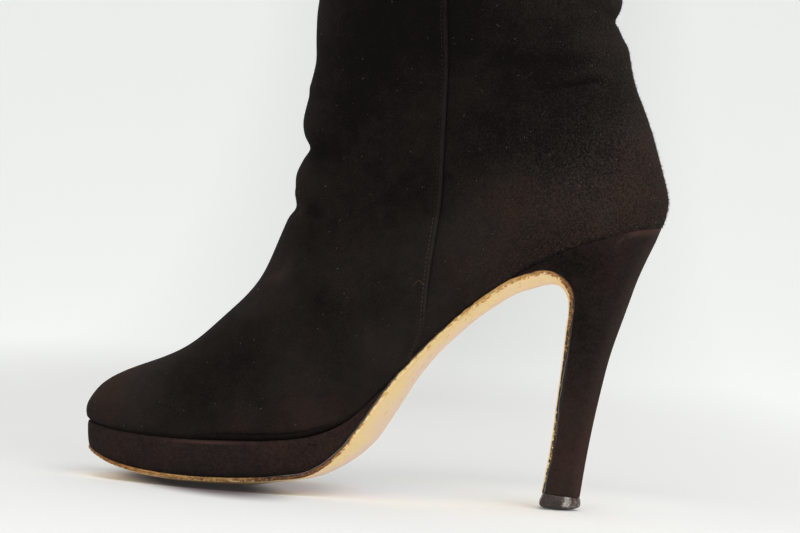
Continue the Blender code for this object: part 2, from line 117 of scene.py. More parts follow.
def spline(knots, values, at):
    # Natural cubic spline: second differences solved from the knots, then the usual
    # cubic on each stretch, read at every place in at.
    step = np.diff(knots)
    matrix, right = np.eye(len(knots)), np.zeros(len(knots))
    for i in range(1, len(knots) - 1):
        matrix[i, i - 1:i + 2] = step[i - 1], 2 * (step[i - 1] + step[i]), step[i]
    right[1:-1] = 6 * np.diff(np.diff(values) / step)
    bend = np.linalg.solve(matrix, right)
    i = np.clip(np.searchsorted(knots, at, side="right") - 1, 0, len(knots) - 2)
    low, high = at - knots[i], knots[i + 1] - at
    curve = (bend[i] * high**3 + bend[i + 1] * low**3) / (6 * step[i])
    lineLow = (values[i] / step[i] - bend[i] * step[i] / 6) * high
    lineHigh = (values[i + 1] / step[i] - bend[i + 1] * step[i] / 6) * low
    return curve + lineLow + lineHigh


def smoothStep(x):
    x = np.clip(x, 0.0, 1.0)
    return x * x * (3 - 2 * x)


def bell(x):
    return np.exp(-x**2)


def mix(a, b, share):
    return a * (1 - share) + b * share


def angleOf(along):
    # Angle round the plan: 0 at the toe tip, pi at the back of the heel.
    return np.arccos(1 - 2 * np.clip(along, 0.0, 1.0))


def angleAt(y):
    return angleOf((y - boot["toeY"]) / boot["lastLength"])


def alongOf(angle):
    return (1 - np.cos(angle)) / 2


def soleLine(along):
    # Place, half width and lag of the sole line at shares of the length.
    line, angle = soleLineTable, angleOf(along)
    inner, outer = (spline(angleOf(line["along"]), line[key], angle) * boot["ballWidth"]
                    for key in ("inner", "outer"))
    height, lag = (spline(line["along"], line[key], along) for key in ("height", "lag"))
    return {"y": boot["toeY"] + along * boot["lastLength"],
            "z": height * boot["seatHeight"], "centre": (inner - outer) / 2,
            "half": np.maximum((inner + outer) / 2, 0.0), "lag": lag}


def sectionShape(half):
    return np.minimum(half / boot["toeRound"], 1)


def sheet(y, z, centre, half, lag, hang, across):
    # Points across the boot at each station, from the outer edge (-1), which runs
    # behind by lag, to the inner (1).  The middle hangs by hang.
    outer = np.stack([centre - half, y + lag, z], axis=1)
    inner = np.stack([centre + half, y, z], axis=1)
    grid = mix(outer[:, None], inner[:, None], ((1 + across) / 2)[None, :, None])
    grid[:, :, 2] -= np.outer(hang, 1 - across**2)
    return grid


def shell(rings):
    # The grids that close a stack of rings: outer and inner side, front, bottom, top.
    return rings[:, :, 0], rings[:, :, -1], rings[:, 0], rings[0], rings[-1]


def lowered(grid, amount):
    # Moved down and out of the boot along the side-view normals.
    dy, dz = np.moveaxis(np.gradient(grid[:, :, 1:], axis=0), 2, 0)
    push = np.stack([dz * 0, amount * dz, -amount * dy], axis=-1)
    return grid + push / np.hypot(dy, dz)[..., None]


def ladder(first, second, swell, rows):
    # Rounded wall between two lines of points: straight between them, moved out by
    # swell times a flattened half circle.
    share = np.linspace(0, 1, rows + 1)[:, None, None]
    return mix(first, second, share) + (4 * share * (1 - share))**0.35 * swell


def summed(steps):
    return np.insert(np.cumsum(steps, axis=0), 0, 0, axis=0)


def lengthAlong(points):
    # Distance travelled from the first of the points, or down each column of a grid.
    return summed(np.linalg.norm(np.diff(points, axis=0), axis=-1))


def unit(vectors):
    return vectors / np.maximum(np.linalg.norm(vectors, axis=-1, keepdims=True), 1e-9)


def newMesh(name, points, faces, material):
    mesh = bpy.data.meshes.new(name)
    mesh.from_pydata((points * mm).tolist(), [], faces)
    mesh.materials.append(material)
    mesh.shade_smooth()
    return mesh


def newObject(name, data):
    item = bpy.data.objects.new(name, data)
    bpy.context.scene.collection.objects.link(item)
    return item


def makePiece(name, parts, material, replaced=()):
    # One closed mesh from grids that share their borders.  A part is a grid, its
    # point values and, where it needs one, its UV in millimetres; points that agree
    # to a hundred-thousandth of a millimetre are one.
    keys = sorted({key for part in parts for key in part[1]})
    points, faces, fields, uvs, start = [], [], [], [], 0
    for grid, values, *uv in parts:
        shape = grid.shape[:2]
        index = start + np.arange(shape[0] * shape[1]).reshape(shape)
        start += index.size
        points.append(grid.reshape(-1, 3))
        faces.append(np.stack([index[:-1, :-1], index[:-1, 1:], index[1:, 1:],
                               index[1:, :-1]], axis=-1).reshape(-1, 4))
        fields.append({key: np.broadcast_to(values.get(key, 0.0), shape).ravel()
                       for key in keys})
        uvs.append(np.reshape(uv or np.zeros((*shape, 2)), (-1, 2)))
    points, faces, uvs = np.concatenate(points), np.concatenate(faces), np.concatenate(uvs)
    uvs = uvs[faces]
    _, first, welded = np.unique(np.round(points, 5), axis=0, return_index=True,
                                 return_inverse=True)
    faces = welded.reshape(-1)[faces]
    # a face with one repeated corner is a triangle; with more it is left out
    same = faces == np.roll(faces, -1, axis=1)
    whole, three = ~same.any(axis=1), same.sum(axis=1) == 1
    kept = ~same[three]
    triangles = faces[three][kept].reshape(-1, 3)
    mesh = newMesh(name, points[first], faces[whole].tolist() + triangles.tolist(), material)
    corners = np.concatenate([uvs[whole].reshape(-1, 2), uvs[three][kept]])
    layer = mesh.uv_layers.new(name="millimetres")
    layer.data.foreach_set("uv", corners.astype(np.float32).reshape(-1))
    for key in keys:
        values = np.concatenate([field[key] for field in fields])[first]
        attribute = mesh.attributes.new(key, "FLOAT", "POINT")
        attribute.data.foreach_set("value", values.astype(np.float32))
    work = bmesh.new()
    work.from_mesh(mesh)
    bmesh.ops.recalc_face_normals(work, faces=work.faces)
    work.to_mesh(mesh)
    work.free()
    mesh.set_sharp_from_angle(angle=np.radians(50))
    placePiece(name, mesh, replaced)


def placePiece(name, mesh, replaced=()):
    piece = newObject(name, mesh)
    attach(piece, "root")
    if replaced:
        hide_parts(*replaced)
    print("made " + name + ": " + str(len(mesh.polygons)) + " faces")


def makeTubes(name, paths, radius, sides, material):
    # Many thin tubes in one mesh.  paths is (tubes, points, 3) in mm and radius
    # (tubes, points): each point gets a ring of sides points square to the path,
    # the ends closing to a point.
    along = unit(np.gradient(paths, axis=1))
    guide = np.where(np.abs(along[:, :, 2:]) < 0.8, [0.0, 0.0, 1.0], [1.0, 0.0, 0.0])
    first = unit(np.cross(along, guide))[:, :, None]
    second = np.cross(along, first[:, :, 0])[:, :, None]
    turn = (2 * np.pi * np.arange(sides) / sides)[:, None]
    ring = first * np.cos(turn) + second * np.sin(turn)
    points = (paths[:, :, None] + ring * radius[:, :, None, None]).reshape(-1, 3)
    index = np.arange(len(points)).reshape(*paths.shape[:2], sides)
    beside = np.roll(index, -1, axis=2)
    quads = np.stack([index[:, :-1], beside[:, :-1], beside[:, 1:], index[:, 1:]], axis=-1)
    faces = quads.reshape(-1, 4).tolist() + index[:, 0, ::-1].tolist() + index[:, -1].tolist()
    placePiece(name, newMesh(name, points, faces, material))


def colour(code):
    # sRGB hex to linear RGBA.
    values = np.array([int(code[i:i + 2], 16) for i in (0, 2, 4)]) / 255
    low = values / 12.92
    high = ((values + 0.055) / 1.055)**2.4
    return (*np.where(values <= 0.04045, low, high), 1.0)


def toned(code, factor):
    # A colour made lighter or darker.
    return (*(min(1.0, factor * value) for value in colour(code)[:3]), 1.0)


def setInputs(tree, node, inputs):
    # Values are set by the sockets' names, or in order on the sockets in use.  Outputs
    # of other nodes are linked, and hex codes are colours.
    if isinstance(inputs, dict):
        pairs = [(node.inputs[key], value) for key, value in inputs.items()]
    else:
        pairs = list(zip([socket for socket in node.inputs if socket.enabled], inputs))
    for socket, value in pairs:
        if isinstance(value, bpy.types.NodeSocket):
            tree.links.new(value, socket)
        else:
            socket.default_value = colour(value) if isinstance(value, str) else value


nodeDefaults = {"Mix": {"data_type": "RGBA"}}


def addNode(tree, kind, inputs=(), output=None, **settings):
    # Adds a node with its settings and links, and gives one of its outputs: the first
    # in use where none is named.
    node = tree.nodes.new("ShaderNode" + kind)
    for key, value in {**nodeDefaults.get(kind, {}), **settings}.items():
        setattr(node, key, value)
    setInputs(tree, node, inputs)
    return node.outputs[output] if output else next(o for o in node.outputs if o.enabled)


def newMaterial(name):
    # A material, a function that adds a node to it, and the place on the object.
    material = bpy.data.materials.new(name)
    material.use_nodes = True
    add = partial(addNode, material.node_tree)
    return material, add, add("TexCoord", output="Object")


def finished(material, inputs, node="Principled BSDF"):
    # Sets the inputs of a node that each material starts with, and gives the material.
    tree = material.node_tree
    setInputs(tree, tree.nodes[node], inputs)
    return material


suedeFinish = {
    "dark": "110f0d",
    "cool": "493f3a",
    "warm": "503c35",
    "hueSize": 38.0,  # mm, patches that turn from grey to reddish brown
    # size in mm, detail, distortion, and how far the tone moves: brushed areas, strokes
    # and the nap itself, drawn as coarse as it needs to show
    "layers": [(26.0, 3.0, 0.0, 0.05), (5.5, 3.0, 0.6, 0.05), (0.55, 2.0, 0.0, 0.08)],
    "fuzzSize": 0.8,  # tufts where the nap is coarse
    "fuzzDepth": 0.34,
}


def suede(name, finish):
    # Calf suede, its fibres raised by sanding: no gloss at all, darker and lighter
    # patches where the nap lies over, and a faint pale bloom at grazing angles.
    material, add, place = newMaterial(name)
    nap, tone = (add("Attribute", output="Fac", attribute_name=key)
                 for key in ("nap", "fade"))
    depth = finish["fuzzDepth"]
    for size, detail, distortion, amount in finish["layers"]:
        waves = add("TexNoise", {"Vector": place, "Scale": 1 / (size * mm),
                                 "Detail": detail, "Distortion": distortion})
        shift = add("MapRange", [waves, 0.3, 0.7, -amount, amount])
        tone = add("Math", [tone, shift])
    tufts = add("TexNoise", {"Vector": place, "Scale": 1 / (finish["fuzzSize"] * mm),
                             "Detail": 3.0, "Distortion": 0.7})
    rough = add("MapRange", [tufts, 0.40, 0.66, -0.5 * depth, depth])
    tone = add("Math", [rough, nap, tone], operation="MULTIPLY_ADD")
    areas = add("TexNoise", {"Vector": place, "Scale": 1 / (finish["hueSize"] * mm)})
    hue = add("MapRange", [areas, 0.4, 0.6, -0.45, 0.45])
    hue = add("Math", [tone, 1.3, hue], operation="MULTIPLY_ADD", use_clamp=True)
    light = add("Mix", [hue, finish["cool"], finish["warm"]])
    share = add("MapRange", [tone, -0.3, 1.0])
    base = add("Mix", [share, finish["dark"], light])
    depth = add("MapRange", {0: nap, 3: 0.3, 4: 1.8})
    height = add("Math", [tufts, depth, waves], operation="MULTIPLY_ADD")
    bump = add("Bump", {"Height": height, "Distance": 0.5 * mm, "Strength": 0.6})
    return finished(material, {"Base Color": base, "Normal": bump, "Roughness": 1.0,
                               "Specular IOR Level": 0.05, "Sheen Weight": 0.06,
                               "Sheen Roughness": 0.5, "Sheen Tint": "968c86"})


def threads(name, code, roughness):
    # Spun thread: matt, a little lighter than what it is sewn into.
    material, add, place = newMaterial(name)
    twist = add("TexNoise", {"Vector": place, "Scale": 1 / (0.5 * mm)})
    share = add("MapRange", [twist, 0.35, 0.65])
    base = add("Mix", [share, code, toned(code, 1.6)])
    return finished(material, {"Base Color": base, "Roughness": roughness,
                               "Specular IOR Level": 0.15})


def upperRings():
    foot, shaft = footRings, shaftRings
    length, width, height = boot["lastLength"], boot["ballWidth"], boot["instepHeight"]
    ones = np.ones_like(shaft["front"])
    pairs = {"front": (boot["toeY"] + foot["front"] * length, shaft["front"]),
             "frontZ": (foot["frontZ"] * height, shaft["frontZ"]),
             "back": (boot["toeY"] + foot["back"] * length, shaft["back"]),
             "backZ": (foot["backZ"] * height, shaft["backZ"]),
             "fore": (foot["fore"] * width, shaft["width"]),
             "rear": (foot["rear"] * width, shaft["width"]),
             "round": (foot["round"], ones), "foot": (foot["foot"], ones * 0)}
    return {key: np.concatenate(pair) for key, pair in pairs.items()}


rings = upperRings()
ringNumbers = np.arange(len(rings["front"]) * 1.0)
topLevel = ringNumbers[-1]
soleEnds = soleLine(np.array([0.0, 1.0]))
planWidth = np.max(soleLine(np.linspace(0, 1, 400))["half"])


def upperSurface(levels, angles):
    # Outer face of the upper: levels from 0 at the sole line to topLevel at the
    # collar, angles round the plan from 0 at the toe to pi at the heel, negative on
    # the outer side.  Each ring is a slanted plan between its front and its back,
    # part sole shape and part oval.
    ring = {key: spline(ringNumbers, values, levels) for key, values in rings.items()}
    roundness, foot = (np.clip(ring[key], 0, 1) for key in ("round", "foot"))
    turned = (angles + np.pi) % (2 * np.pi) - np.pi
    side = np.where(turned < 0, -1.0, 1.0)
    along = alongOf(np.abs(turned))
    line = soleLine(along)
    y = mix(ring["front"], ring["back"], along) + np.where(side < 0, line["lag"] * foot, 0)
    z = mix(ring["frontZ"], ring["backZ"], along)
    z = z + foot * (line["z"] - mix(soleEnds["z"][0], soleEnds["z"][1], along))
    shape = mix(line["half"] / planWidth, np.sin(np.abs(turned)), roundness)
    width = shape * mix(ring["fore"], ring["rear"], smoothStep(along))
    return np.stack(np.broadcast_arrays(line["centre"] * foot + side * width, y, z), axis=-1)


def upperFrame(levels, angles):
    # Points of that face with their outward normals and upward directions.
    step = 0.002
    around = upperSurface(levels, angles + step) - upperSurface(levels, angles - step)
    up = unit(upperSurface(levels + step, angles) - upperSurface(levels - step, angles))
    return upperSurface(levels, angles), unit(np.cross(around, up)), up


# Side seam from the sole line to the collar, seen from the side.
sideSeam = np.array([
    (-64, 53), (-61.2, 62), (-59.3, 68), (-57.5, 85.5), (-56.3, 101),
    (-54.9, 117), (-55, 131), (-55.4, 150), (-56.2, 175), (-58, 195),
    (-57.5, 215), (-56, 240), (-53, 300), (-50, 400), (-51, 500),
    (-54, 640)])

# Troughs and ridges as they lie in the side view.  Each row has the strengths on the
# inner and the outer side, the width and the height in mm, and then the points of its
# line as y, z and share.
folds = {
    "wrinkles over the front of the ankle": """
        1 1 6.5 1.5  -122 147 1  -105 145 0.7  -92 143 0
        1 0.9 3 -2  -122 137.5 1  -108 136 1  -101 134 0.5  -90 131 0
        1 1 6 2.5  -122 126 1  -108 125 0.6  -95 122 0
        1 0.8 3.2 -1.9  -122 113.5 1  -110 112 0.8  -100 109 0
        1 1 7 -1.2  -122 172 1  -105 171 0.6  -90 169 0
        1 1 6 0.5  -122 191 1  -104 190 0.5  -94 190 0
        1 0 1.5 1.2  -113.5 118 0.4  -111 114.5 0.7  -110 111.5 1  -111 108 0
        1 0.5 3 -0.8  -107 118 0  -105.5 113 1  -106 108 0.6  -107 103 0
        1 0.6 4.5 -0.9  -106 129 1  -103 126 1
        1 0.3 1.8 0.5  -113 161 0.5  -108 159.5 1  -101 159 0.6  -92 160 0
        1 0.3 2.2 -0.5  -112 157 0.5  -106 156.5 1  -96 156.5 0""",
    "bend of the vamp": """
        1 0.7 2.4 1  -112 99 0.3  -111.7 91 0.9  -113 86.5 1  -116 83 1  -120.5 82 0.7  -125 80 0
        1 0.7 2.6 -0.7  -108.5 90 0.3  -110 83 1  -114 79 1  -119 77.5 0.6  -124 76 0
        1 0.4 4 0.4  -124 70.6 1  -131 67.7 1""",
    "creases behind the ankle": """
        1 0.6 1.6 -1.3  3.5 169 0.5  0 169 1  -5 167.4 0.9  -12 165.5 0.5  -26 162 0
        1 0.6 2.2 0.7  3 172.5 0.5  -6 170.8 1  -18 168.5 0.5  -28 166 0
        1 0.8 3.5 -0.8  -4 176.5 0.4  -9 175 1  -21 174 1  -36 174.4 0.7  -50 175.5 0
        1 0.8 4 0.6  -2 183 0.5  -20 181 0.8  -40 181 0.4  -52 182 0
        1 0.5 3 0.5  -14 191 0.7  -8 189 0.7
        1 1 2.2 -1.5  14 193 1  6 196.5 1  1 198 0.6  -6 200 0
        1 1 4.5 1.1  17 185 1  6 184 0.5  -6 183 0
        1 1 4.5 1.6  14 202 1  5 204 0.7  -6 206 0""",
    "soft falls of the shaft over calf and knee": """
        1 0.8 9 -1.4  22 246 1  4 252 0.8  -22 262 0
        0.8 1 10 1.2  24 272 1  6 276 0.6  -16 282 0
        1 1 11 -1.8  30 470 1  8 474 1  -20 484 0.4  -44 494 0
        1 0.9 10 1.4  30 498 1  8 500 0.9  -18 508 0
        0.9 1 9 -1.4  26 522 1  4 526 0.8  -26 532 0
        1 1 12 -1  -124 470 1  -96 478 0.7  -70 486 0
        1 1 12 1  -124 440 1  -98 444 0.6  -74 450 0""",
}


def foldLines():
    # The rows as numbers, each with its line cut into straight runs.
    for row in "".join(folds.values()).split("\n")[1:]:
        numbers = [float(word) for word in row.split()]
        line = [numbers[i:i + 3] for i in range(4, len(numbers), 3)]
        yield *numbers[:4], list(zip(line, line[1:]))


def foldHeight(points):
    # Each fold adds height * share * exp(-(distance / width)^2), the distance taken to
    # its line in the side view; the strengths of the two sides blend over the middle.
    y, z = points[..., 1], points[..., 2]
    inner = smoothStep((points[..., 0] + 12) / 24)
    total = np.zeros(y.shape)
    for innerShare, outerShare, width, height, runs in foldLines():
        best = np.zeros(y.shape)
        for (y0, z0, share0), (y1, z1, share1) in runs:
            runY, runZ = y1 - y0, z1 - z0
            t = np.clip(((y - y0) * runY + (z - z0) * runZ) / (runY**2 + runZ**2), 0, 1)
            distance = (y - y0 - t * runY)**2 + (z - z0 - t * runZ)**2
            best = np.maximum(best, mix(share0, share1, t) * np.exp(-distance / width**2))
        total += height * best * mix(outerShare, innerShare, inner)
    return total


slack = {"seed": 7, "waves": 7, "length": (15, 45), "height": 0.11}


def slackHeight(points):
    # Unevenness of empty suede: a sum of sine waves that run in random directions.
    random = np.random.default_rng(slack["seed"])
    total = np.zeros(points.shape[:-1])
    for _ in range(slack["waves"]):
        direction = unit(random.normal(size=3))
        length = random.uniform(*slack["length"])
        total += np.sin(2 * np.pi * (points @ direction) / length + random.uniform(0, 6.3))
    return slack["height"] * total


def reliefHeight(points):
    return foldHeight(points) + slackHeight(points)


panels = {
    "thickness": 0.95,
    "lapRise": 0.75,  # front panel's edge stands proud
    "stitchIn": 2.3,  # stitch row from the edge
    "foldOver": 12.0,  # collar turned down inside
    "collarRoll": 1.45,
    "collarLength": 30.0,  # rows this close to the top are let down for it
    "liningDepths": (1.72, 2.02),
    "liningEnd": 5.0,  # below the top
}


def rowLevels():
    # Levels of the rows: close at the sole line, about 1.35 mm up the foot and the
    # ankle, wider up the shaft.
    dense = np.linspace(0, topLevel, 4201)
    path = upperSurface(dense[:, None], np.array([[0.0, 1.2, 2.2, np.pi]]))
    steps = np.linalg.norm(np.diff(path, axis=0), axis=2).max(axis=1)
    length = summed(steps)
    fine = np.interp(13.0, dense, length)
    spacing = np.interp(length, [0, 2.6, 6, fine, fine + 50, length[-1] - 20, length[-1]],
                        [0.4, 0.45, 1.35, 1.4, 5.0, 5.0, 2.0])
    rows = summed(steps / spacing[1:])
    return np.interp(np.linspace(0, rows[-1], int(rows[-1]) + 1), rows, dense)


def seamAngles(levels, side):
    # Angle at which each level crosses the side seam, and how many mm an angle is
    # worth there.
    trial = np.linspace(1.3, 2.3, 201)
    points = upperSurface(levels[:, None], side * trial[None])
    past = points[..., 1] - spline(sideSeam[:, 1], sideSeam[:, 0], points[..., 2])
    after = np.argmax(past > 0, axis=1)
    rows = np.arange(len(levels))
    low, high = past[rows, after - 1], past[rows, after]
    angle = trial[after - 1] - low / (high - low) * (trial[1] - trial[0])
    ahead = upperSurface(levels, side * (angle + 0.01))
    behind = upperSurface(levels, side * (angle - 0.01))
    return angle, np.linalg.norm(ahead - behind, axis=-1) / 0.02


levels = rowLevels()
innerSeam, innerScale = seamAngles(levels, 1)
outerSeam, outerScale = seamAngles(levels, -1)


def frontOffset(distance):
    # Height of the front panel near its edge: laid over the back panel, a rounded
    # folded edge with a low bead, and a groove under the stitches.
    rise = panels["lapRise"] * (1 - smoothStep((distance - 3) / 5))
    turn = 0.5 * (1 - np.sqrt(np.clip(1 - (1 - distance / 0.5)**2, 0, 1)))
    bead = 0.22 * bell((distance - 1.0) / 0.6)
    groove = 0.28 * bell((distance - panels["stitchIn"]) / 0.4)
    return rise - np.where(distance < 0.5, turn, 0.0) + bead - groove


def backOffset(distance):
    # Height of the back panel near the seam: pressed down under the front panel's
    # edge and rising again behind it.
    low = 0.4 * (1 - smoothStep(distance / 6))
    return -low - 0.15 * bell(np.maximum(distance, 0) / 0.8)


def upperOffset(points, climb):
    # Folds and slack, fading out towards the sole line, and the tuck under the foot:
    # the suede turns in over the platform, on a wider round beside the ball.
    y = points[..., 1]
    waist = smoothStep((-80 - y) / 14)
    deep = smoothStep((y + 152) / 26) * waist
    tuck = mix(0.35, 0.9, waist) + 1.2 * deep
    tuck = tuck * (1 - smoothStep(climb / mix(1.9, 4.2, deep)))
    return reliefHeight(points) * smoothStep((climb - 2) / 8) - tuck


def collarFall(climb, amount):
    # How far the rows near the top are let down.
    length = panels["collarLength"]
    return amount * smoothStep((climb - climb[-1:] + length) / length)[..., None]


def hemDrop(y):
    # How far the platform's top, and the suede on it, lie under the sole line.
    return 0.85 * smoothStep((-80 - y) / 22)


# Patches of lighter and darker suede in the side view: (y, z, reach, amount).
tonePatches = [
    (-183, 30, 14, 0.10), (-176, 40, 16, 0.20), (-146, 40, 16, -0.20), (-126, 52, 16, -0.17),
    (-150, 60, 12, 0.06), (-126, 26, 9, 0.10), (-100, 30, 12, 0.14), (-118, 84, 7, 0.14),
    (-111, 113, 5, 0.12), (-90, 66, 14, -0.10), (-77, 60, 9, 0.12), (-100, 130, 34, -0.17),
    (-80, 185, 40, -0.27), (-104, 100, 10, -0.08), (-62, 120, 16, -0.13), (-45, 185, 22, -0.10),
    (-15, 166, 26, -0.24), (-27, 122, 14, 0.10), (-10, 122, 18, 0.12), (8, 114, 12, 0.14),
    (20, 128, 16, 0.16), (24, 150, 12, 0.16), (4, 180, 10, 0.06), (-42, 98, 16, 0.10),
    (-40, 138, 15, -0.17), (-15, 140, 14, -0.13), (-100, 77, 9, -0.15), (-77, 82, 10, -0.08),
]


def suedeTone(y, z):
    fade = np.zeros(y.shape)
    for patchY, patchZ, reach, amount in tonePatches:
        fade += amount * np.exp(-((y - patchY)**2 + (z - patchZ)**2) / reach**2)
    # the plain upper shaft keeps the tone it has where the patches end
    return fade - 0.04 - 0.16 * smoothStep((z - 200) / 60)


def rimsOf(skins, places):
    # Strips that join two skins along some of their rows or columns.
    return [np.stack([skin[at] for skin in skins]) for at in places]


def makePanel(name, angles, offset, tone, back):
    # A closed panel: its outer skin runs up, rolls over at the collar and comes down
    # inside; its inner skin follows at the leather's thickness.
    roll, thick = panels["collarRoll"], panels["thickness"]
    base, normal, up = upperFrame(levels[:, None], angles)
    climb = lengthAlong(base)
    lift = (offset + upperOffset(base, climb))[..., None]
    y = base[..., 1]
    base[..., 2] -= hemDrop(y) * (1 - smoothStep(climb / 9)) + 0.35 * (1 - smoothStep(climb / 3))
    # the collar turns about a line one roll below the top edge and one roll inside it
    turn = np.radians(np.linspace(0, 180, 9))[1:, None, None]
    normalTop, upTop = normal[-1:], up[-1:]
    centre = base[-1:] - normalTop * (roll - lift[-1:]) - upTop * roll
    down = np.linspace(3, panels["foldOver"], 4)[:, None, None]
    fall = collarFall(climb, roll)
    skins = []
    for depth in (0, thick):
        skin = centre + (roll - depth) * (normalTop * np.cos(turn) + upTop * np.sin(turn))
        skins.append(np.concatenate([base + normal * (lift - depth) - up * fall, skin,
                                     skin[-1:] - upTop * down]))
    outer, inner = skins
    # painted highlight on the ridges of the folds and painted shade in their troughs, painted
    # shade mixed with dirt along the hem, and a band of painted shade where the suede tucks in
    # beside the ball
    fade = suedeTone(outer[..., 1], outer[..., 2])
    beside = smoothStep((y + 142) / 14) * smoothStep((-86 - y) / 10)
    fade[:len(tone)] += (tone + np.clip(0.09 * foldHeight(base), -0.15, 0.12)
                         - 0.16 * (1 - smoothStep(climb / 3.0))
                         - 0.25 * beside * bell((climb - 2.3) / 0.4))
    nap = back * smoothStep((outer[..., 1] + 62) / 76)
    nap = nap * mix(1.0, 0.45, smoothStep((outer[..., 2] - 138) / 30))
    flat = {"nap": 0.2, "fade": 0.0}
    rims = rimsOf(skins, (0, -1, np.s_[:, 0], np.s_[:, -1]))
    parts = [(outer, {"nap": 0.16 + nap, "fade": fade})]
    parts += [(grid, flat) for grid in [inner, *rims]]
    makePiece(name, parts, upperSuede, ["upper"])


def columns(first, last, firstScale, lastScale, steps, count):
    # Angles of a panel's columns, some mm in from each seam and then even steps of
    # angle, with how far each lies from the nearer seam.
    first, last, firstScale, lastScale = (values[:, None] for values in
                                          (first, last, firstScale, lastScale))
    start, end = first + steps / firstScale, last - steps / lastScale
    middle = mix(start[:, -1:], end[:, -1:], np.linspace(0, 1, count)[None, 1:-1])
    angles = np.concatenate([start, middle, end[:, ::-1]], axis=1)
    return angles, np.minimum((angles - first) * firstScale, (last - angles) * lastScale)


upperSuede = suede("brushed suede", suedeFinish)

steps = np.array([0, 0.12, 0.3, 0.5, 0.8, 1.15, 1.5, 1.85, 2.1, 2.35, 2.6, 3.0, 4.0, 5.5, 7.5])
angles, inward = columns(-outerSeam, innerSeam, outerScale, innerScale, steps, 136)
# its folded edge is rubbed pale as far as the stitches
rubbed = 0.15 * smoothStep((inward - 0.1) / 0.3) * (1 - smoothStep((inward - 1.4) / 0.5))
makePanel("frontPanel", angles, frontOffset(inward), rubbed, 0.0)

# The back panel runs from under the inner seam round the heel to the outer one.
steps = np.array([-3.0, -1.5, -0.5, 0, 0.25, 0.5, 0.8, 1.2, 1.7, 2.4, 3.4, 4.8, 6.5])
angles, inward = columns(innerSeam, 2 * np.pi - outerSeam, innerScale, outerScale, steps,
                         112)
shaded = -0.15 * (1 - smoothStep(inward / 0.9))
makePanel("backPanel", angles, backOffset(inward), shaded, 1.0)


def sockLeather(name, code):
    # Thin pigskin lining: smooth, faintly pebbled, with a soft low shine.
    material, add, place = newMaterial(name)
    pebbles, stains = (add("TexNoise", {"Vector": place, "Scale": 1 / (size * mm),
                                        "Detail": 3.0}) for size in (0.8, 22))
    share = add("MapRange", [stains, 0.35, 0.7])
    base = add("Mix", [share, code, toned(code, 0.7)])
    bump = add("Bump", {"Height": pebbles, "Distance": 0.2 * mm, "Strength": 0.5})
    return finished(material, {"Base Color": base, "Normal": bump, "Roughness": 0.55,
                               "Specular IOR Level": 0.35})


def makeLining():
    # Lining shell inside both panels, from the sole line up under the turned collar.
    base, normal, up = upperFrame(levels[::3, None], np.linspace(-np.pi, np.pi, 97)[None])
    climb = lengthAlong(base)
    lift = upperOffset(base, climb)[..., None]
    fall = collarFall(climb, panels["liningEnd"])
    skins = [base + normal * (lift - depth) - up * fall for depth in panels["liningDepths"]]
    for skin in skins:
        skin[:, -1] = skin[:, 0]
    parts = [(grid, {}) for grid in skins + rimsOf(skins, (0, -1))]
    makePiece("lining", parts, sockLeather("pigskin lining", "5a4a3f"))


makeLining()

platform = {
    "height": 15.5,
    "toeThinning": 5.0,
    "toeThinningLength": 0.085,
    "fade": (0.39, 0.56),  # shares of the length between which it runs out
    "tail": 0.82,  # it ends at this share of that stretch
    "toeTuck": 1.5,
    "toeTuckLength": 0.03,
    "bulge": 1.1,
}


def fadeShare(along):
    start, end = platform["fade"]
    return smoothStep((along - start) / (end - start))


def platformDrop(along):
    thinning = platform["toeThinning"] * np.exp(-along / platform["toeThinningLength"])
    thinning = thinning + 0.9 * bell((along - 0.375) / 0.06)
    return (platform["height"] - thinning) * (1 - fadeShare(along))


def toeTuck(along):
    return platform["toeTuck"] * np.exp(-along / platform["toeTuckLength"])


def makePlatform(material):
    last = angleOf(mix(*platform["fade"], platform["tail"]))
    along = alongOf(np.linspace(0, last, 150))
    y, z, centre, half, lag = soleLine(along).values()
    drop, shape, across = platformDrop(along), sectionShape(half), np.linspace(-1, 1, 13)
    cup = boot["bottomCup"] * shape
    clear = boot["gap"] * np.sqrt(1 + np.gradient(z, y)**2)
    # the top edge is rounded off, under the suede that turns in over it
    inset = 0.5 * smoothStep((-70 - y) / 20)
    top = sheet(y + inset * (1 - shape), z - clear - hemDrop(y), centre,
                half - inset * shape, lag, cup, across)
    bottom = sheet(y + toeTuck(along), z - drop, centre, half, lag, cup, across)
    swell = platform["bulge"] * drop / platform["height"]
    inner = np.stack([swell * shape, -swell * (1 - shape), swell * 0], axis=1)
    outer = inner * [-1, 1, 1]
    # a painted highlight along the top edge beside the ball, a little paler at the toe, and
    # darker towards the bottom
    rows = 16
    down = np.linspace(0, 1, rows + 1)[:, None]
    wear = (0.06 + 0.65 * bell((down - 0.06) / 0.03) * bell((y + 139) / 14)
            + 0.05 * bell((y + 182) / 12) + 0.05 * bell((y + 125) / 26)
            - 0.1 * smoothStep((down - 0.75) / 0.25))
    tail = np.linspace(outer[-1], inner[-1], 13)
    left, right = np.s_[:, 0], np.s_[:, -1]
    grids = [(top, 0.0), (bottom, 0.0)]
    for at, swell, fade in (-1, tail, 0.0), (right, inner, wear), (left, outer, wear):
        grids.append((ladder(top[at], bottom[at], swell, rows), fade))
    parts = [(grid, {"nap": 0.45, "fade": fade}) for grid, fade in grids]
    makePiece("platformCover", parts, material, ["platform"])


coverFinish = dict(suedeFinish, fuzzSize=0.9, cool="493c38", warm="543b36",
                   layers=[(16.0, 3.0, 0.0, 0.06), (2.6, 4.0, 0.9, 0.08), (0.55, 2.0, 0.0, 0.09)])
coverSuede = suede("covering suede", coverFinish)
makePlatform(coverSuede)

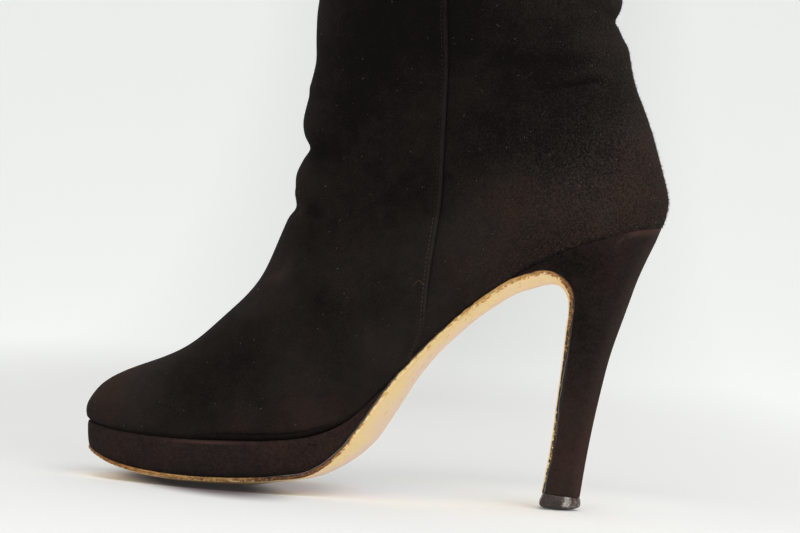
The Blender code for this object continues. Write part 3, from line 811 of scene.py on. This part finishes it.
heel = {
    "waistEndY": -28.0,
    "lipY": -23.5,
    "cornerCentre": (-12.9, 82.3),
    "cornerRadius": 12.3,
    "cornerStart": 117.0,  # degrees, where the bend leaves the waist
    "breastLean": 5.0,
    "breastCurve": 1.4,
    "backPower": 2.4,  # 2 makes the back of a section a half circle
    "tipFrontTop": 6.3,
    "tipBackTop": 5.1,
}

# Rings of the heel from the top piece up to the seat.
heelRings = table("""
    back backZ front width seat
    7.3 5.4 0 7.3 0
    8.5 18 0.155 7.9 0
    10.3 33 0.32 8.9 0
    12.6 48 0.47 10.4 0.05
    15.2 62 0.6 12.6 0.1
    18.4 74 0.69 15.4 0.2
    21.4 84.5 0.77 18.8 0.35
    24.2 94 0.84 22.4 0.6
    27.4 102.5 0.9 25 0.85
    29.9 108.6 1 26.2 1""")
heelNumbers = np.arange(len(heelRings["front"]) * 1.0)

soleLeather = {
    "edgeOut": 0.3,  # past the sole line at the forefoot
    "edgeIn": 0.5,  # inside it at the waist
    "waistEndPlace": 0.73,
    "cornerWear": 0.35,  # its lower edge is rubbed in by this
}

# place 0 toe, 0.73 end of the waist, 0.87 top of the breast, 1 its foot; in mm the
# thickness at the edge, the extra belly with the power of its shape, the painted line,
# and where the scraped margin ends; then shares of orange, of a highlight painted on
# the paint, and of soil.
leatherTable = table("""
    place thick belly power paint margin burnt shine soil
    0 0.9 0.2 2 -0.5 0.6 1 0 0.35
    0.06 1.3 0.5 2 -0.5 1.5 0.8 0 0.25
    0.12 1.5 1.2 2 -0.4 1.7 0.5 0 0.15
    0.2 1.5 1.9 2 -0.4 1.5 0.2 0 0.15
    0.3 1.5 2.4 2 -0.2 1.2 0.2 0.2 0.35
    0.34 1.6 1.3 2.2 0.2 1.9 0.8 0.4 0.65
    0.39 1.8 0.6 2.4 0.5 2.3 0.9 0.6 0.6
    0.42 1.9 1.1 2.6 0.6 2.4 0.85 0.6 0.6
    0.44 1.9 1.6 2.8 0.6 2.1 0.8 0.5 0.45
    0.48 2 3.4 3 0.7 1.2 0.5 0.6 0.1
    0.53 2.1 3.2 3 0.7 0.8 0 0.6 0
    0.6 2 1.9 3 0.5 0.8 0 0.2 0
    0.66 2 2.1 3 0.3 1.2 0 0 0
    0.73 2 3 3 0.2 1.9 0.1 0 0
    0.79 2.1 3.5 3 0.4 1.6 0.5 0.2 0.2
    0.84 2.1 1.3 3 0.45 2 0.9 0.1 0.35
    0.88 2 0.3 3 0.5 2.3 0.5 0.1 0.55
    0.905 1.9 0.3 3 0.7 2.3 0.2 0.2 0.8
    0.92 1.9 0.3 3 1.5 2.3 0 0.5 1
    0.945 1.8 0.3 3 1.4 2.2 0.1 0.5 1
    0.955 1.7 0.2 3 0.8 1.7 0.3 0.3 0.8
    0.975 1.7 0.2 3 0.7 1.5 0 0 0.8
    0.987 2 0.2 3 1.8 1.9 0 0.6 1
    1 2.3 0.2 3 2.2 2.2 0 0.6 1""")


def heelSection(ring):
    # Half widths of the heel from front to back: its plan grows from a D at the top
    # piece into the seat's.
    plan = soleLine(alongOf(np.linspace(angleAt(heel["lipY"]), np.pi, 44)))
    depth = (plan["y"] - plan["y"][0]) / (plan["y"][-1] - plan["y"][0])
    width = spline(heelNumbers, heelRings["width"], ring)
    seat = np.clip(spline(heelNumbers, heelRings["seat"], ring), 0, 1)
    roundBack = np.sqrt(np.maximum(1 - depth**heel["backPower"], 0))
    half = width * mix(roundBack, plan["half"] / np.max(plan["half"]), seat)
    return depth, half, seat, plan


def outsolePath():
    # Upper face of the outsole on its inner edge from the toe to the foot of the heel
    # breast, with what its sections need, drawn as one spline at steps of a mm.
    along = alongOf(np.linspace(0, angleAt(heel["waistEndY"]), 46))
    line, lip, join = soleLine(along), len(along), np.concatenate
    bend = np.radians(np.linspace(heel["cornerStart"], 0, 7))
    cornerY, cornerZ = (middle + heel["cornerRadius"] * turn for middle, turn in
                        zip(heel["cornerCentre"], (np.cos(bend), np.sin(bend))))
    share = np.linspace(0, 1, 8)[1:]
    breastY = cornerY[-1] - heel["breastLean"] * share**heel["breastCurve"]
    breastZ = mix(cornerZ[-1], heel["tipFrontTop"] + boot["gap"], share)
    waistZ = line["z"] - platformDrop(along)
    lipZ = np.interp(heel["lipY"], [line["y"][-1], cornerY[0]], [waistZ[-1], cornerZ[0]]) + 0.4
    y = join([line["y"] + toeTuck(along), [heel["lipY"]], cornerY, breastY])
    z = join([waistZ, [lipZ], cornerZ, breastZ])
    length = lengthAlong(np.stack([y, z], axis=1))
    edge = mix(soleLeather["edgeOut"], -soleLeather["edgeIn"], fadeShare(along))
    share = (length[lip:] - length[-1]) / (length[lip] - length[-1])
    sections = [heelSection(ring)
                for ring in np.interp(share, heelRings["front"], heelNumbers)]
    plan = sections[0][3]
    seat = np.array([section[2] for section in sections])
    smooth = {
        "y": y, "z": z,
        "half": join([line["half"] + edge * sectionShape(line["half"]),
                      [section[1][0] for section in sections]]),
        "centre": join([line["centre"], seat * plan["centre"][0]]),
        "lag": join([line["lag"], seat * plan["lag"][0]]),
    }
    even = join([np.linspace(0, 6, 16)[:-1], np.linspace(6, length[-1], 330)])
    path = {key: spline(length, values, even) for key, values in smooth.items()}
    path["half"] = np.maximum(path["half"], 0)
    later = np.linspace(soleLeather["waistEndPlace"], 1, len(y) - lip + 1)[1:]
    path["place"] = np.interp(even, length, join([along, later]))
    fadeCup = 1 - smoothStep((np.arange(len(y)) - lip) / 5)
    path["cup"] = boot["bottomCup"] * np.interp(even, length, fadeCup)
    return dict(path, length=even, lip=length[lip])


def soleMaterial():
    # Veg-tanned sole leather: cream where it is buffed, its cut edge scraped gold and
    # brown with dark streaks, a painted line along the top with a highlight painted into
    # it, patches of old glue and dull scuffs underneath.
    material, add, place = newMaterial("buffed sole leather")
    strip = add("UVMap")
    field = {key: add("Attribute", output="Fac", attribute_name=key)
             for key in ("paint", "margin", "burnt", "shine", "soil", "wear")}
    # the UV map is in millimetres, so streaks and glue are stretched along the edge
    drawn, smeared = (add("VectorMath", [strip, stretch], operation="MULTIPLY")
                      for stretch in ((0.35, 2.2, 1.0), (0.2, 0.35, 1.0)))
    streaks, glue, specks, ragged, broad = (
        add("TexNoise", {"Vector": at, "Scale": scale, "Detail": detail,
                         "Distortion": distortion})
        for at, scale, detail, distortion in (
            (drawn, 1.0, 5.0, 0.0), (smeared, 1.0, 4.0, 0.0), (place, 1 / (1.2 * mm), 3.0, 0.8),
            (place, 1 / (1.3 * mm), 5.0, 0.0), (place, 1 / (17 * mm), 3.0, 0.5)))
    share = add("MapRange", [broad, 0.3, 0.7, -0.4, 0.4])
    inner = add("MapRange", [field["margin"], 3.0, 22.0])
    share = add("Math", [share, inner], use_clamp=True)
    cream = add("Mix", [share, "fee1a4", "fbddc6"])
    share = add("MapRange", [streaks, 0.36, 0.66])
    gold, orange = (add("Mix", [share, *codes])
                    for codes in (("f0c27c", "b98343"), ("cc7b30", "6e3512")))
    tones = {"cream": cream, "gold": add("Mix", [field["burnt"], gold, orange])}
    # glue and scuffs on the cream, dark specks and soil on the scraped gold
    for tone, source, low, high, least, most, amount, code in (
            ("cream", glue, 0.63, 0.66, 0.0, 0.7, field["wear"], "d9ad52"),
            ("cream", specks, 0.64, 0.72, 0.0, 0.4, 1.0, "a07642"),
            ("gold", specks, 0.56, 0.66, 0.0, 0.5, 1.0, "3a2616"),
            ("gold", specks, 0.35, 0.6, 0.6, 1.6, field["soil"], "3f2f24")):
        share = add("MapRange", [source, low, high, least, most])
        share = add("Math", [share, amount], operation="MULTIPLY", use_clamp=True)
        tones[tone] = add("Mix", [share, tones[tone], code])
    # the painted line, with a highlight painted in pale grey inside it
    shift = add("MapRange", [glue, 0.3, 0.7, -0.3, 0.3])
    line = add("Math", [field["paint"], shift])
    near = add("Math", [line, 0.4])
    near = add("Math", [near], operation="ABSOLUTE")
    share = add("MapRange", [near, 0.05, 0.2, 1.0, 0.0])
    share = add("Math", [share, field["shine"]], operation="MULTIPLY")
    paint = add("Mix", [share, "1d1512", "9a938f"])
    shift = add("MapRange", [ragged, 0.25, 0.75, -1.1, 1.1])
    edge = add("Math", [field["margin"], shift])
    base = tones["cream"]
    for limit, low, high, near in (edge, -0.25, 0.35, tones["gold"]), (line, -0.1, 0.12, paint):
        share = add("MapRange", [limit, low, high])
        base = add("Mix", [share, near, base])
    height = add("Math", [streaks, specks])
    bump = add("Bump", {"Height": height, "Distance": 0.25 * mm, "Strength": 0.5})
    rough = add("MapRange", [broad, 0.3, 0.7, 0.5, 0.7])
    return finished(material, {"Base Color": base, "Normal": bump, "Roughness": rough,
                               "Specular IOR Level": 0.3})


def makeOutsole(path, material):
    place, shape = path["place"], sectionShape(path["half"])
    across = np.sin(np.pi / 2 * np.linspace(-1, 1, 37))
    fields = (path[key] for key in ("y", "z", "centre", "half", "lag"))
    # behind the waist the top is let into the heel, so that no light comes between
    gap = boot["gap"] - 0.2 * smoothStep((place - 0.75) / 0.03)
    top = lowered(sheet(*fields, path["cup"] * shape, across), gap[:, None])
    leather = {key: np.interp(place, leatherTable["place"], values)[:, None]
               for key, values in leatherTable.items()}
    # the belly is full on broad sections, and all of it behind the waist
    belly = leather["belly"] * np.where(place < soleLeather["waistEndPlace"], shape, 1)[:, None]
    fall = belly * (1 - np.abs(across)**leather["power"])
    bottom = lowered(top, leather["thick"] + fall)
    bottom[:, :, 2] = np.maximum(bottom[:, :, 2], 0.0)
    bottom[:, 0, 0] += soleLeather["cornerWear"] * shape
    bottom[:, -1, 0] -= soleLeather["cornerWear"] * shape
    # on the sole this only marks the worn waist, where old glue shows
    wear = smoothStep((place - 0.48) / 0.04) * (1 - smoothStep((place - 0.76) / 0.03))

    def part(grid, across, inset):
        # across is the UV's second mm; inset: mm from the top of the edge, down it and on
        # over the bottom
        values = {key: leather[key] for key in ("burnt", "shine", "soil")}
        values.update((key, inset - leather[key]) for key in ("paint", "margin"))
        length = np.broadcast_to(path["length"][:, None], across.shape)
        return grid, dict(values, wear=wear[:, None]), np.stack([length, across], axis=-1)

    side = np.linspace(0, 1, 7)
    swell = 0.3 * (1 - (2 * side - 1)**4)
    down = leather["thick"] * side
    parts = []
    for column, sign in ((0, -1), (-1, 1)):
        wall = mix(top[:, column][:, None], bottom[:, column][:, None], side[None, :, None])
        wall[:, :, 0] += sign * np.outer(shape, swell)
        wall[:, :, 1] -= np.outer(1 - shape, swell) * (place < 0.1)[:, None]
        parts.append(part(wall, down, down))
    _, _, uv = part(top, top[:, :, 0], 0)
    parts.append((top, {"paint": 5.0, "margin": 5.0}, uv))
    inwards = path["half"][:, None] * (1 - np.abs(across))
    parts.append(part(bottom, bottom[:, :, 0], leather["thick"] + inwards))
    parts.append((np.stack((top[-1], bottom[-1])), {"paint": 0.3, "margin": -1.0}))
    makePiece("outsoleLeather", parts, material, ["outsole"])


path = outsolePath()
makeOutsole(path, soleMaterial())


def makeHeel(path, material):
    # Covered heel: rings from the top piece up the breast and round to the lip, then
    # the band under the seat, its edge pressed in where it meets the upper.
    behind = path["length"] >= path["lip"] - 0.5
    y, z, cup, length = (path[key][behind][::-1] for key in ("y", "z", "cup", "length"))
    share = (length[0] - length) / (length[0] - length[-1])
    rings, across = [], np.linspace(-1, 1, 9)
    for frontY, frontZ, hang, place in zip(y, z, cup, share):
        ring = np.interp(place, heelRings["front"], heelNumbers)
        depth, half, seat, plan = heelSection(ring)
        backY, backZ = (spline(heelNumbers, heelRings[key], ring) for key in ("back", "backZ"))
        ringZ = mix(frontZ, backZ, depth)
        ringZ = ringZ + seat * (plan["z"] - mix(plan["z"][0], plan["z"][-1], depth))
        rings.append(sheet(mix(frontY, backY, depth), ringZ, plan["centre"] * seat, half,
                           plan["lag"] * seat, hang * sectionShape(half), across))
    y, z, centre, half, lag = plan.values()
    topZ = z - boot["gap"] * np.sqrt(1 + np.gradient(z, y)**2) + 0.25 * smoothStep((y - 8) / 14)
    cup = boot["bottomCup"] * sectionShape(half)
    seatTop = sheet(y, topZ, centre, half, lag, cup, across)
    rings += [mix(rings[-1], seatTop, step) for step in (0.35, 0.65, 0.85, 0.95)]
    middle = np.stack([centre, y * 0 - 2.0], axis=1)
    edgeOnly = (np.abs(across) > 0.99)[None, :, None]
    seatTop[:, :, :2] += 0.12 * unit(middle[:, None] - seatTop[:, :, :2]) * edgeOnly
    rings = np.array([*rings, seatTop])
    # painted light from the floor lower down the heel and a painted highlight round its back,
    # painted shade in the wedge under the seat behind the corner, a darker patch in the middle,
    # and a worn band under the seat at the very back, with a scratch below it
    y, z = rings[:, :, 0, 1], rings[:, :, 0, 2]
    fade = (0.02 + 0.25 * (1 - smoothStep((z - 8) / 60))
            - 0.24 * bell((y + 7) / 15) * bell((z - 98) / 8)
            - 0.10 * bell((y - 2) / 9) * bell((z - 80) / 22)
            + 0.28 * (1 - smoothStep((y[:, -1:] - y - 1.0) / 5.0))
            + 0.7 * bell((z[-1:] - z - 1.2) / 1.1) * smoothStep((y - 16) / 5)
            + 0.7 * bell((y - 15.5 - 0.68 * (z - 108)) / 0.35) * bell((z - 108) / 2.2))
    parts = [(grid, {"nap": 0.3, "fade": tone})
             for grid, tone in zip(shell(rings), (fade, fade, 0.0, 0.0, 0.0))]
    makePiece("heelCover", parts, material, ["heel"])


makeHeel(path, coverSuede)


def liftMaterial():
    # Polyurethane pressed in a polished mould: hard, with a soft shine, lightly scuffed, with a
    # highlight painted pale grey on its round side, and dark along the rim that meets the floor.
    material, add, place = newMaterial("moulded polyurethane lift")
    rub = add("Attribute", output="Fac", attribute_name="rub")
    scratches = add("TexNoise", {"Vector": place, "Scale": 1 / (1.3 * mm), "Detail": 4.0,
                                 "Distortion": 1.0})
    worn = add("MapRange", [scratches, 0.35, 0.65, -0.25, 0.25])
    worn = add("Math", [worn, rub])
    base = "241a18"
    # brown scuffs, and the painted highlight in pale grey
    for low, high, code in (0.0, 0.5, "54433e"), (0.5, 1.0, "c2bfb8"):
        share = add("MapRange", [worn, low, high])
        base = add("Mix", [share, base, code])
    bump = add("Bump", {"Height": scratches, "Distance": 0.1 * mm, "Strength": 0.4})
    return finished(material, {"Base Color": base, "Normal": bump, "Roughness": 0.45})


topPiece = {
    "front": -7.3,
    "back": 7.6,
    "width": 7.7,  # half of it
    "spread": 1.3,  # pressed out over the floor by wear
    # height over the floor and how far it lies in, then the same below the joint
    "rim": [(0, 2.1), (0.12, 1.45), (0.35, 0.95), (0.75, 0.5), (1.3, 0.2), (2.1, 0.0),
            (3.2, 0.0)],
    "upperRim": [(0.5, 0.05), (0.15, 0.12), (0.0, 0.35)],
}


def makeTopPiece():
    # Moulded lift under the heel: a D with its flat side forward.
    depth = alongOf(np.linspace(0, np.pi, 45))
    joint = mix(heel["tipFrontTop"], heel["tipBackTop"], depth)
    flat = depth * 0
    levels = [(flat + height, inset) for height, inset in topPiece["rim"]]
    levels += [(joint - below, inset) for below, inset in topPiece["upperRim"]]
    rings = []
    for z, inset in levels:
        # pressed out in front; the rim is worn off there, and more behind
        spread = topPiece["spread"] * bell((z[0] - 2.2) / 2.0)
        worn = np.clip(1 - z[0] / 2.5, 0, 1) * (0.5 * (1 - depth)**3 + 0.9 * depth**4)
        y = mix(topPiece["front"] - spread + inset, topPiece["back"] + 0.15 * spread - inset,
                depth)
        half = (topPiece["width"] - inset) * np.sqrt(np.maximum(1 - depth**heel["backPower"], 0))
        rings.append(sheet(y, z + worn, flat, half, flat, flat, np.linspace(-1, 1, 9)))
    parts = []
    for grid in shell(np.array(rings)):
        y, z = grid[..., 1], grid[..., 2]
        # a light scuff all round and a painted highlight on the round side, both fading out at
        # the rim on the floor
        light = 0.85 * bell((y - 2.3) / 1.6) + 0.35 * smoothStep((y - 3) / 3)
        parts.append((grid, {"rub": (0.15 + light) * smoothStep((z - 0.6) / 1.2)}))
    makePiece("heelTopPiece", parts, liftMaterial(), ["top_piece"])


makeTopPiece()

insoleMaterial = sockLeather("sock leather", "8a7763")
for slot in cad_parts["insole"].material_slots:
    slot.material = insoleMaterial


stitching = {
    # mm from one to the next, half the length, arch, and how deep the ends lie
    "seam": (1.7, 0.58, 0.16, 0.05),
    "collar": (3.0, 1.1, 0.3, 0.12),
    "collarLevel": topLevel - 0.12,
    "radius": [0.05, 0.13, 0.15, 0.13, 0.05],
    "overgrown": 112.0,  # above this the nap has closed over them
}


def stitches(line, normal, length, ends, kind):
    # Stitches along a line, each arched over the surface.
    pitch, half, arch, sunk = stitching[kind]
    step = np.linspace(-1, 1, 5)
    at = np.arange(ends[0], length[-1] - ends[1], pitch)[:, None] + half * step
    points, out = (np.stack([np.interp(at, length, values) for values in each.T], axis=-1)
                   for each in (line, normal))
    return points + out * (arch * (1 - step**2) - sunk)[:, None]


def seamThreads():
    # Stitches along both side seams, lying in their groove, and round the collar.
    paths = []
    for side, seam, scale in ((1, innerSeam, innerScale), (-1, outerSeam, outerScale)):
        angle = seam - panels["stitchIn"] / scale
        base, normal, up = upperFrame(levels, side * angle)
        climb = lengthAlong(base)
        lift = frontOffset(panels["stitchIn"]) + upperOffset(base, climb) + 0.02
        line = base + normal * lift[:, None]
        paths.append(stitches(line, normal, climb, (2.0, 4.0), "seam"))
    angle = np.linspace(-np.pi, np.pi, 721)
    base, normal, up = upperFrame(np.full(721, stitching["collarLevel"]), angle)
    line = base + normal * reliefHeight(base)[:, None]
    paths.append(stitches(line, normal, lengthAlong(line), (1.5, 2.0), "collar"))
    paths = np.concatenate(paths)
    radius = np.broadcast_to(stitching["radius"], paths.shape[:2])
    low = paths[:, 2, 2] < stitching["overgrown"]
    for name, chosen, code in (("ankleStitches", low, "463a33"), ("legStitches", ~low, "241e1b")):
        makeTubes(name, paths[chosen], radius[chosen], 6,
                  threads("polyester thread", code, 0.7))


seamThreads()


def scatter(random, where, weight=lambda y: 1.0):
    # Random places on the outside of the upper, inside a range of y and z and kept
    # where weight says so.
    tries = where["count"] * 30
    level, angle = random.uniform(0.1, 14.0, tries), random.uniform(-np.pi, np.pi, tries)
    base, normal, up = upperFrame(level, angle)
    inside = random.uniform(0, 1, tries) < weight(base[:, 1])
    for axis, (low, high) in (1, where["y"]), (2, where["z"]):
        inside &= (base[:, axis] > low) & (base[:, axis] < high)
    chosen = np.flatnonzero(inside)[:where["count"]]
    base, normal = base[chosen], normal[chosen]
    return base + normal * reliefHeight(base)[:, None], normal


fibres = {"seed": 21, "count": 11000, "y": (-62, 60), "z": (60, 225), "length": (0.35, 1.05),
          "radius": [0.06, 0.045, 0.02]}


def napFibres():
    # Raised fibres that stand off the coarse suede round the heel, longest over the
    # back rim: thin hairs that lean away from the surface and curl a little.
    random = np.random.default_rng(fibres["seed"])
    base, normal = scatter(random, fibres, lambda y: smoothStep((y + 70) / 90)**1.6)
    lean = unit(random.normal(size=base.shape) + normal * 0.7)
    length = random.uniform(*fibres["length"], len(base))[:, None]
    length = length * (0.6 + 0.5 * smoothStep((base[:, 1:2] + 20) / 50))
    middle = base + normal * (0.18 * length - 0.1) + lean * length * 0.5
    end = middle + unit(lean + random.normal(size=base.shape) * 0.5) * length * 0.5
    paths = np.stack([base - normal * 0.1, middle, end], axis=1)
    makeTubes("napFibres", paths, np.broadcast_to(fibres["radius"], paths.shape[:2]), 3,
              threads("suede fibres", "473a35", 1.0))


napFibres()


dust = {"seed": 5, "count": 620, "y": (-195, 60), "z": (20, 240), "length": (0.15, 0.7),
        "radius": (0.018, 0.046)}


def lint():
    # Pale dust and bits of thread caught in the nap.
    random = np.random.default_rng(dust["seed"])
    base, normal = scatter(random, dust)
    base = base + normal * 0.12
    lean = unit(np.cross(normal, random.normal(size=base.shape)))
    length = random.uniform(*dust["length"], len(base))[:, None]
    bend = unit(np.cross(lean, normal)) * length * random.uniform(-0.3, 0.3, len(base))[:, None]
    reach = lean * length / 2
    radius = random.uniform(*dust["radius"], len(base))[:, None] * [0.7, 1.0, 0.7]
    makeTubes("lint", np.stack([base - reach, base + bend, base + reach], axis=1), radius, 4,
              threads("cotton lint", "8c8983", 1.0))


lint()


def onUpper(y, z, rise):
    # The points of the inner side that lie at y, z in the side view, raised by rise:
    # levels and angles are found by repeated linear steps.
    place = np.array([[5.0, 1.5]] * len(y))
    shifts = np.array([[0.01, 0.0], [0.0, 0.01]])
    for _ in range(20):
        here = upperSurface(*place.T)
        slopes = np.stack([upperSurface(*(place + shift).T) - here for shift in shifts], axis=2)
        miss = np.stack([y, z], axis=1) - here[:, 1:]
        place += 0.7 * np.linalg.solve(slopes[:, 1:] / 0.01, miss[..., None])[..., 0]
    base, normal, up = upperFrame(*place.T)
    return base + normal * (reliefHeight(base) + rise)[:, None]


def looseThread():
    # The end of a seam thread that has worked loose and curled.
    turn, knots = np.linspace(0, 1, 15), np.linspace(0, 1, 6)
    y = np.interp(turn, knots, [-63.1, -62.6, -61.8, -60.9, -60.2, -59.8])
    z = np.interp(turn, knots, [84.5, 85.6, 86.5, 86.9, 86.6, 85.5])
    path = onUpper(y, z, 0.85 + 0.6 * np.sin(np.pi * turn))
    makeTubes("looseThread", path[None], np.full((1, 15), 0.11), 6,
              threads("frayed thread", "4a342e", 0.8))


looseThread()


def paperMaterial():
    material, add, place = newMaterial("matt paper")
    # the far end is lit on its own, so that floor and wall run into one white, with a little
    # painted shade in the middle
    far, aside = (add("SeparateXYZ", [place], axis) for axis in "XY")
    aside = add("Math", [aside, -0.15], operation="SUBTRACT")
    aside = add("Math", [aside], operation="ABSOLUTE")
    lit = add("MapRange", [far, 0.05, -1.65, 0.08, 0.40], interpolation_type="SMOOTHSTEP")
    sides = add("MapRange", [aside, 0.05, 0.35, -0.13, 0.06])
    beyond = add("MapRange", [far, -0.2, -0.8])
    lit = add("Math", [sides, beyond, lit], operation="MULTIPLY_ADD")
    # painted glow: the paper lit on its own under the waist, beside the heel and in front of the
    # toe, cooler under the waist, where the sole warms it again
    under = add("VectorMath", [place, (-0.015, -0.075, 0.0)], operation="DISTANCE")
    glow = add("MapRange", [under, 0.015, 0.06, 1.0, 0.0])
    lit = add("Math", [glow, 0.12, lit], operation="MULTIPLY_ADD")
    cast = add("Mix", [glow, "fbfefd", "c2dcff"])
    # and a painted shadow, a darker paper colour, where the forefoot lies on it
    spots = []
    for centre, turn, size in (((-0.052, -0.02), 0.0, (0.09, 0.124)),
                               ((0.006, -0.186), 0.0, (0.03, 0.017)),
                               ((0.01, -0.143), 0.5, (0.05, 0.0238))):
        spot = add("Mapping", [place, (*centre, 0.0), (0.0, 0.0, turn), (*size, 1.0)],
                   vector_type="TEXTURE")
        spots.append(add("VectorMath", [spot], operation="LENGTH"))
    for spot, power in zip(spots, (0.13, 0.12)):
        haze = add("MapRange", [spot, 0.0, 1.0, power, 0.0], interpolation_type="SMOOTHSTEP")
        lit = add("Math", [lit, haze])
    shade = add("MapRange", [spots[2], 0.56, 1.44], interpolation_type="SMOOTHSTEP")
    dim = add("Math", [shade, 0.74, 0.26], operation="MULTIPLY_ADD")
    lit = add("Math", [lit, dim], operation="MULTIPLY")
    paper = add("Mix", [shade, "6e6164", "e9e9e7"])
    finished(material, {"Base Color": paper, "Roughness": 1.0, "Specular IOR Level": 0.0,
                        "Emission Color": cast, "Emission Strength": lit})
    # the paper has no back, so the outer side and the sole can be looked at through it
    front = material.node_tree.nodes["Principled BSDF"].outputs[0]
    faced = add("MixShader", [add("NewGeometry", output="Backfacing"), front,
                              add("BsdfTransparent")])
    return finished(material, {"Surface": faced}, "Material Output")


sweep = {"near": 3500, "floorEnd": -1500, "bend": 2500, "top": 6000, "halfWidth": 5000}


def stage():
    # A pale paper sweep: floor, a wide bend and a far wall.
    turn = np.radians(np.linspace(0, 90, 24))
    x, z = sweep["floorEnd"] - sweep["bend"] * np.sin(turn), sweep["bend"] * (1 - np.cos(turn))
    profile = [(sweep["near"], 0), *zip(x, z), (x[-1], sweep["top"])]
    points = np.array([(x, y, z) for x, z in profile
                       for y in (-sweep["halfWidth"], sweep["halfWidth"])])
    faces = [(i, i + 1, i + 3, i + 2) for i in range(0, len(points) - 2, 2)]
    mesh = newMesh("paperSweep", points, faces, paperMaterial())
    newObject("paperSweep", mesh)


stage()

world = bpy.data.worlds.new("studio")
world.use_nodes = True
background = world.node_tree.nodes["Background"]
setInputs(world.node_tree, background, {"Color": "ffffff", "Strength": 0.34})
bpy.context.scene.world = world


def aim(name, data, place, target, roll=0.0):
    # Puts a light or the camera at place, turned towards target, both in mm.
    turn = (Vector(target) - Vector(place)).to_track_quat("-Z", "Y").to_matrix().to_4x4()
    item = newObject(name, data)
    item.matrix_world = (Matrix.Translation(Vector(place) * mm) @ turn
                         @ Matrix.Rotation(np.radians(roll), 4, "Z"))
    return item


# Soft boxes: name, place and target in mm, width and power in watts.
softBoxes = [
    ("overheadBox", (420, 140, 1250), (40, -40, 0), 1500, 16.2),
    ("fillBox", (1500, 900, 700), (0, -60, 120), 1200, 3),
]
for name, place, target, width, power in softBoxes:
    light = bpy.data.lights.new(name, "AREA")
    light.shape = "SQUARE"
    light.size = width * mm
    light.energy = power
    aim(name, light, place, target)

view = {
    "place": (1000.0, -12.0, 90.0),
    "target": (0.0, -70.9, 91.8),
    "roll": 4.2,  # degrees
    "lens": 112.68,
}
camera = bpy.data.cameras.new("camera")
camera.lens = view["lens"]
camera.sensor_width = 36.0
camera.clip_start, camera.clip_end = 0.05, 30.0
bpy.context.scene.camera = aim("camera", camera, view["place"], view["target"], view["roll"])
bpy.context.scene.view_settings.view_transform = "Standard"
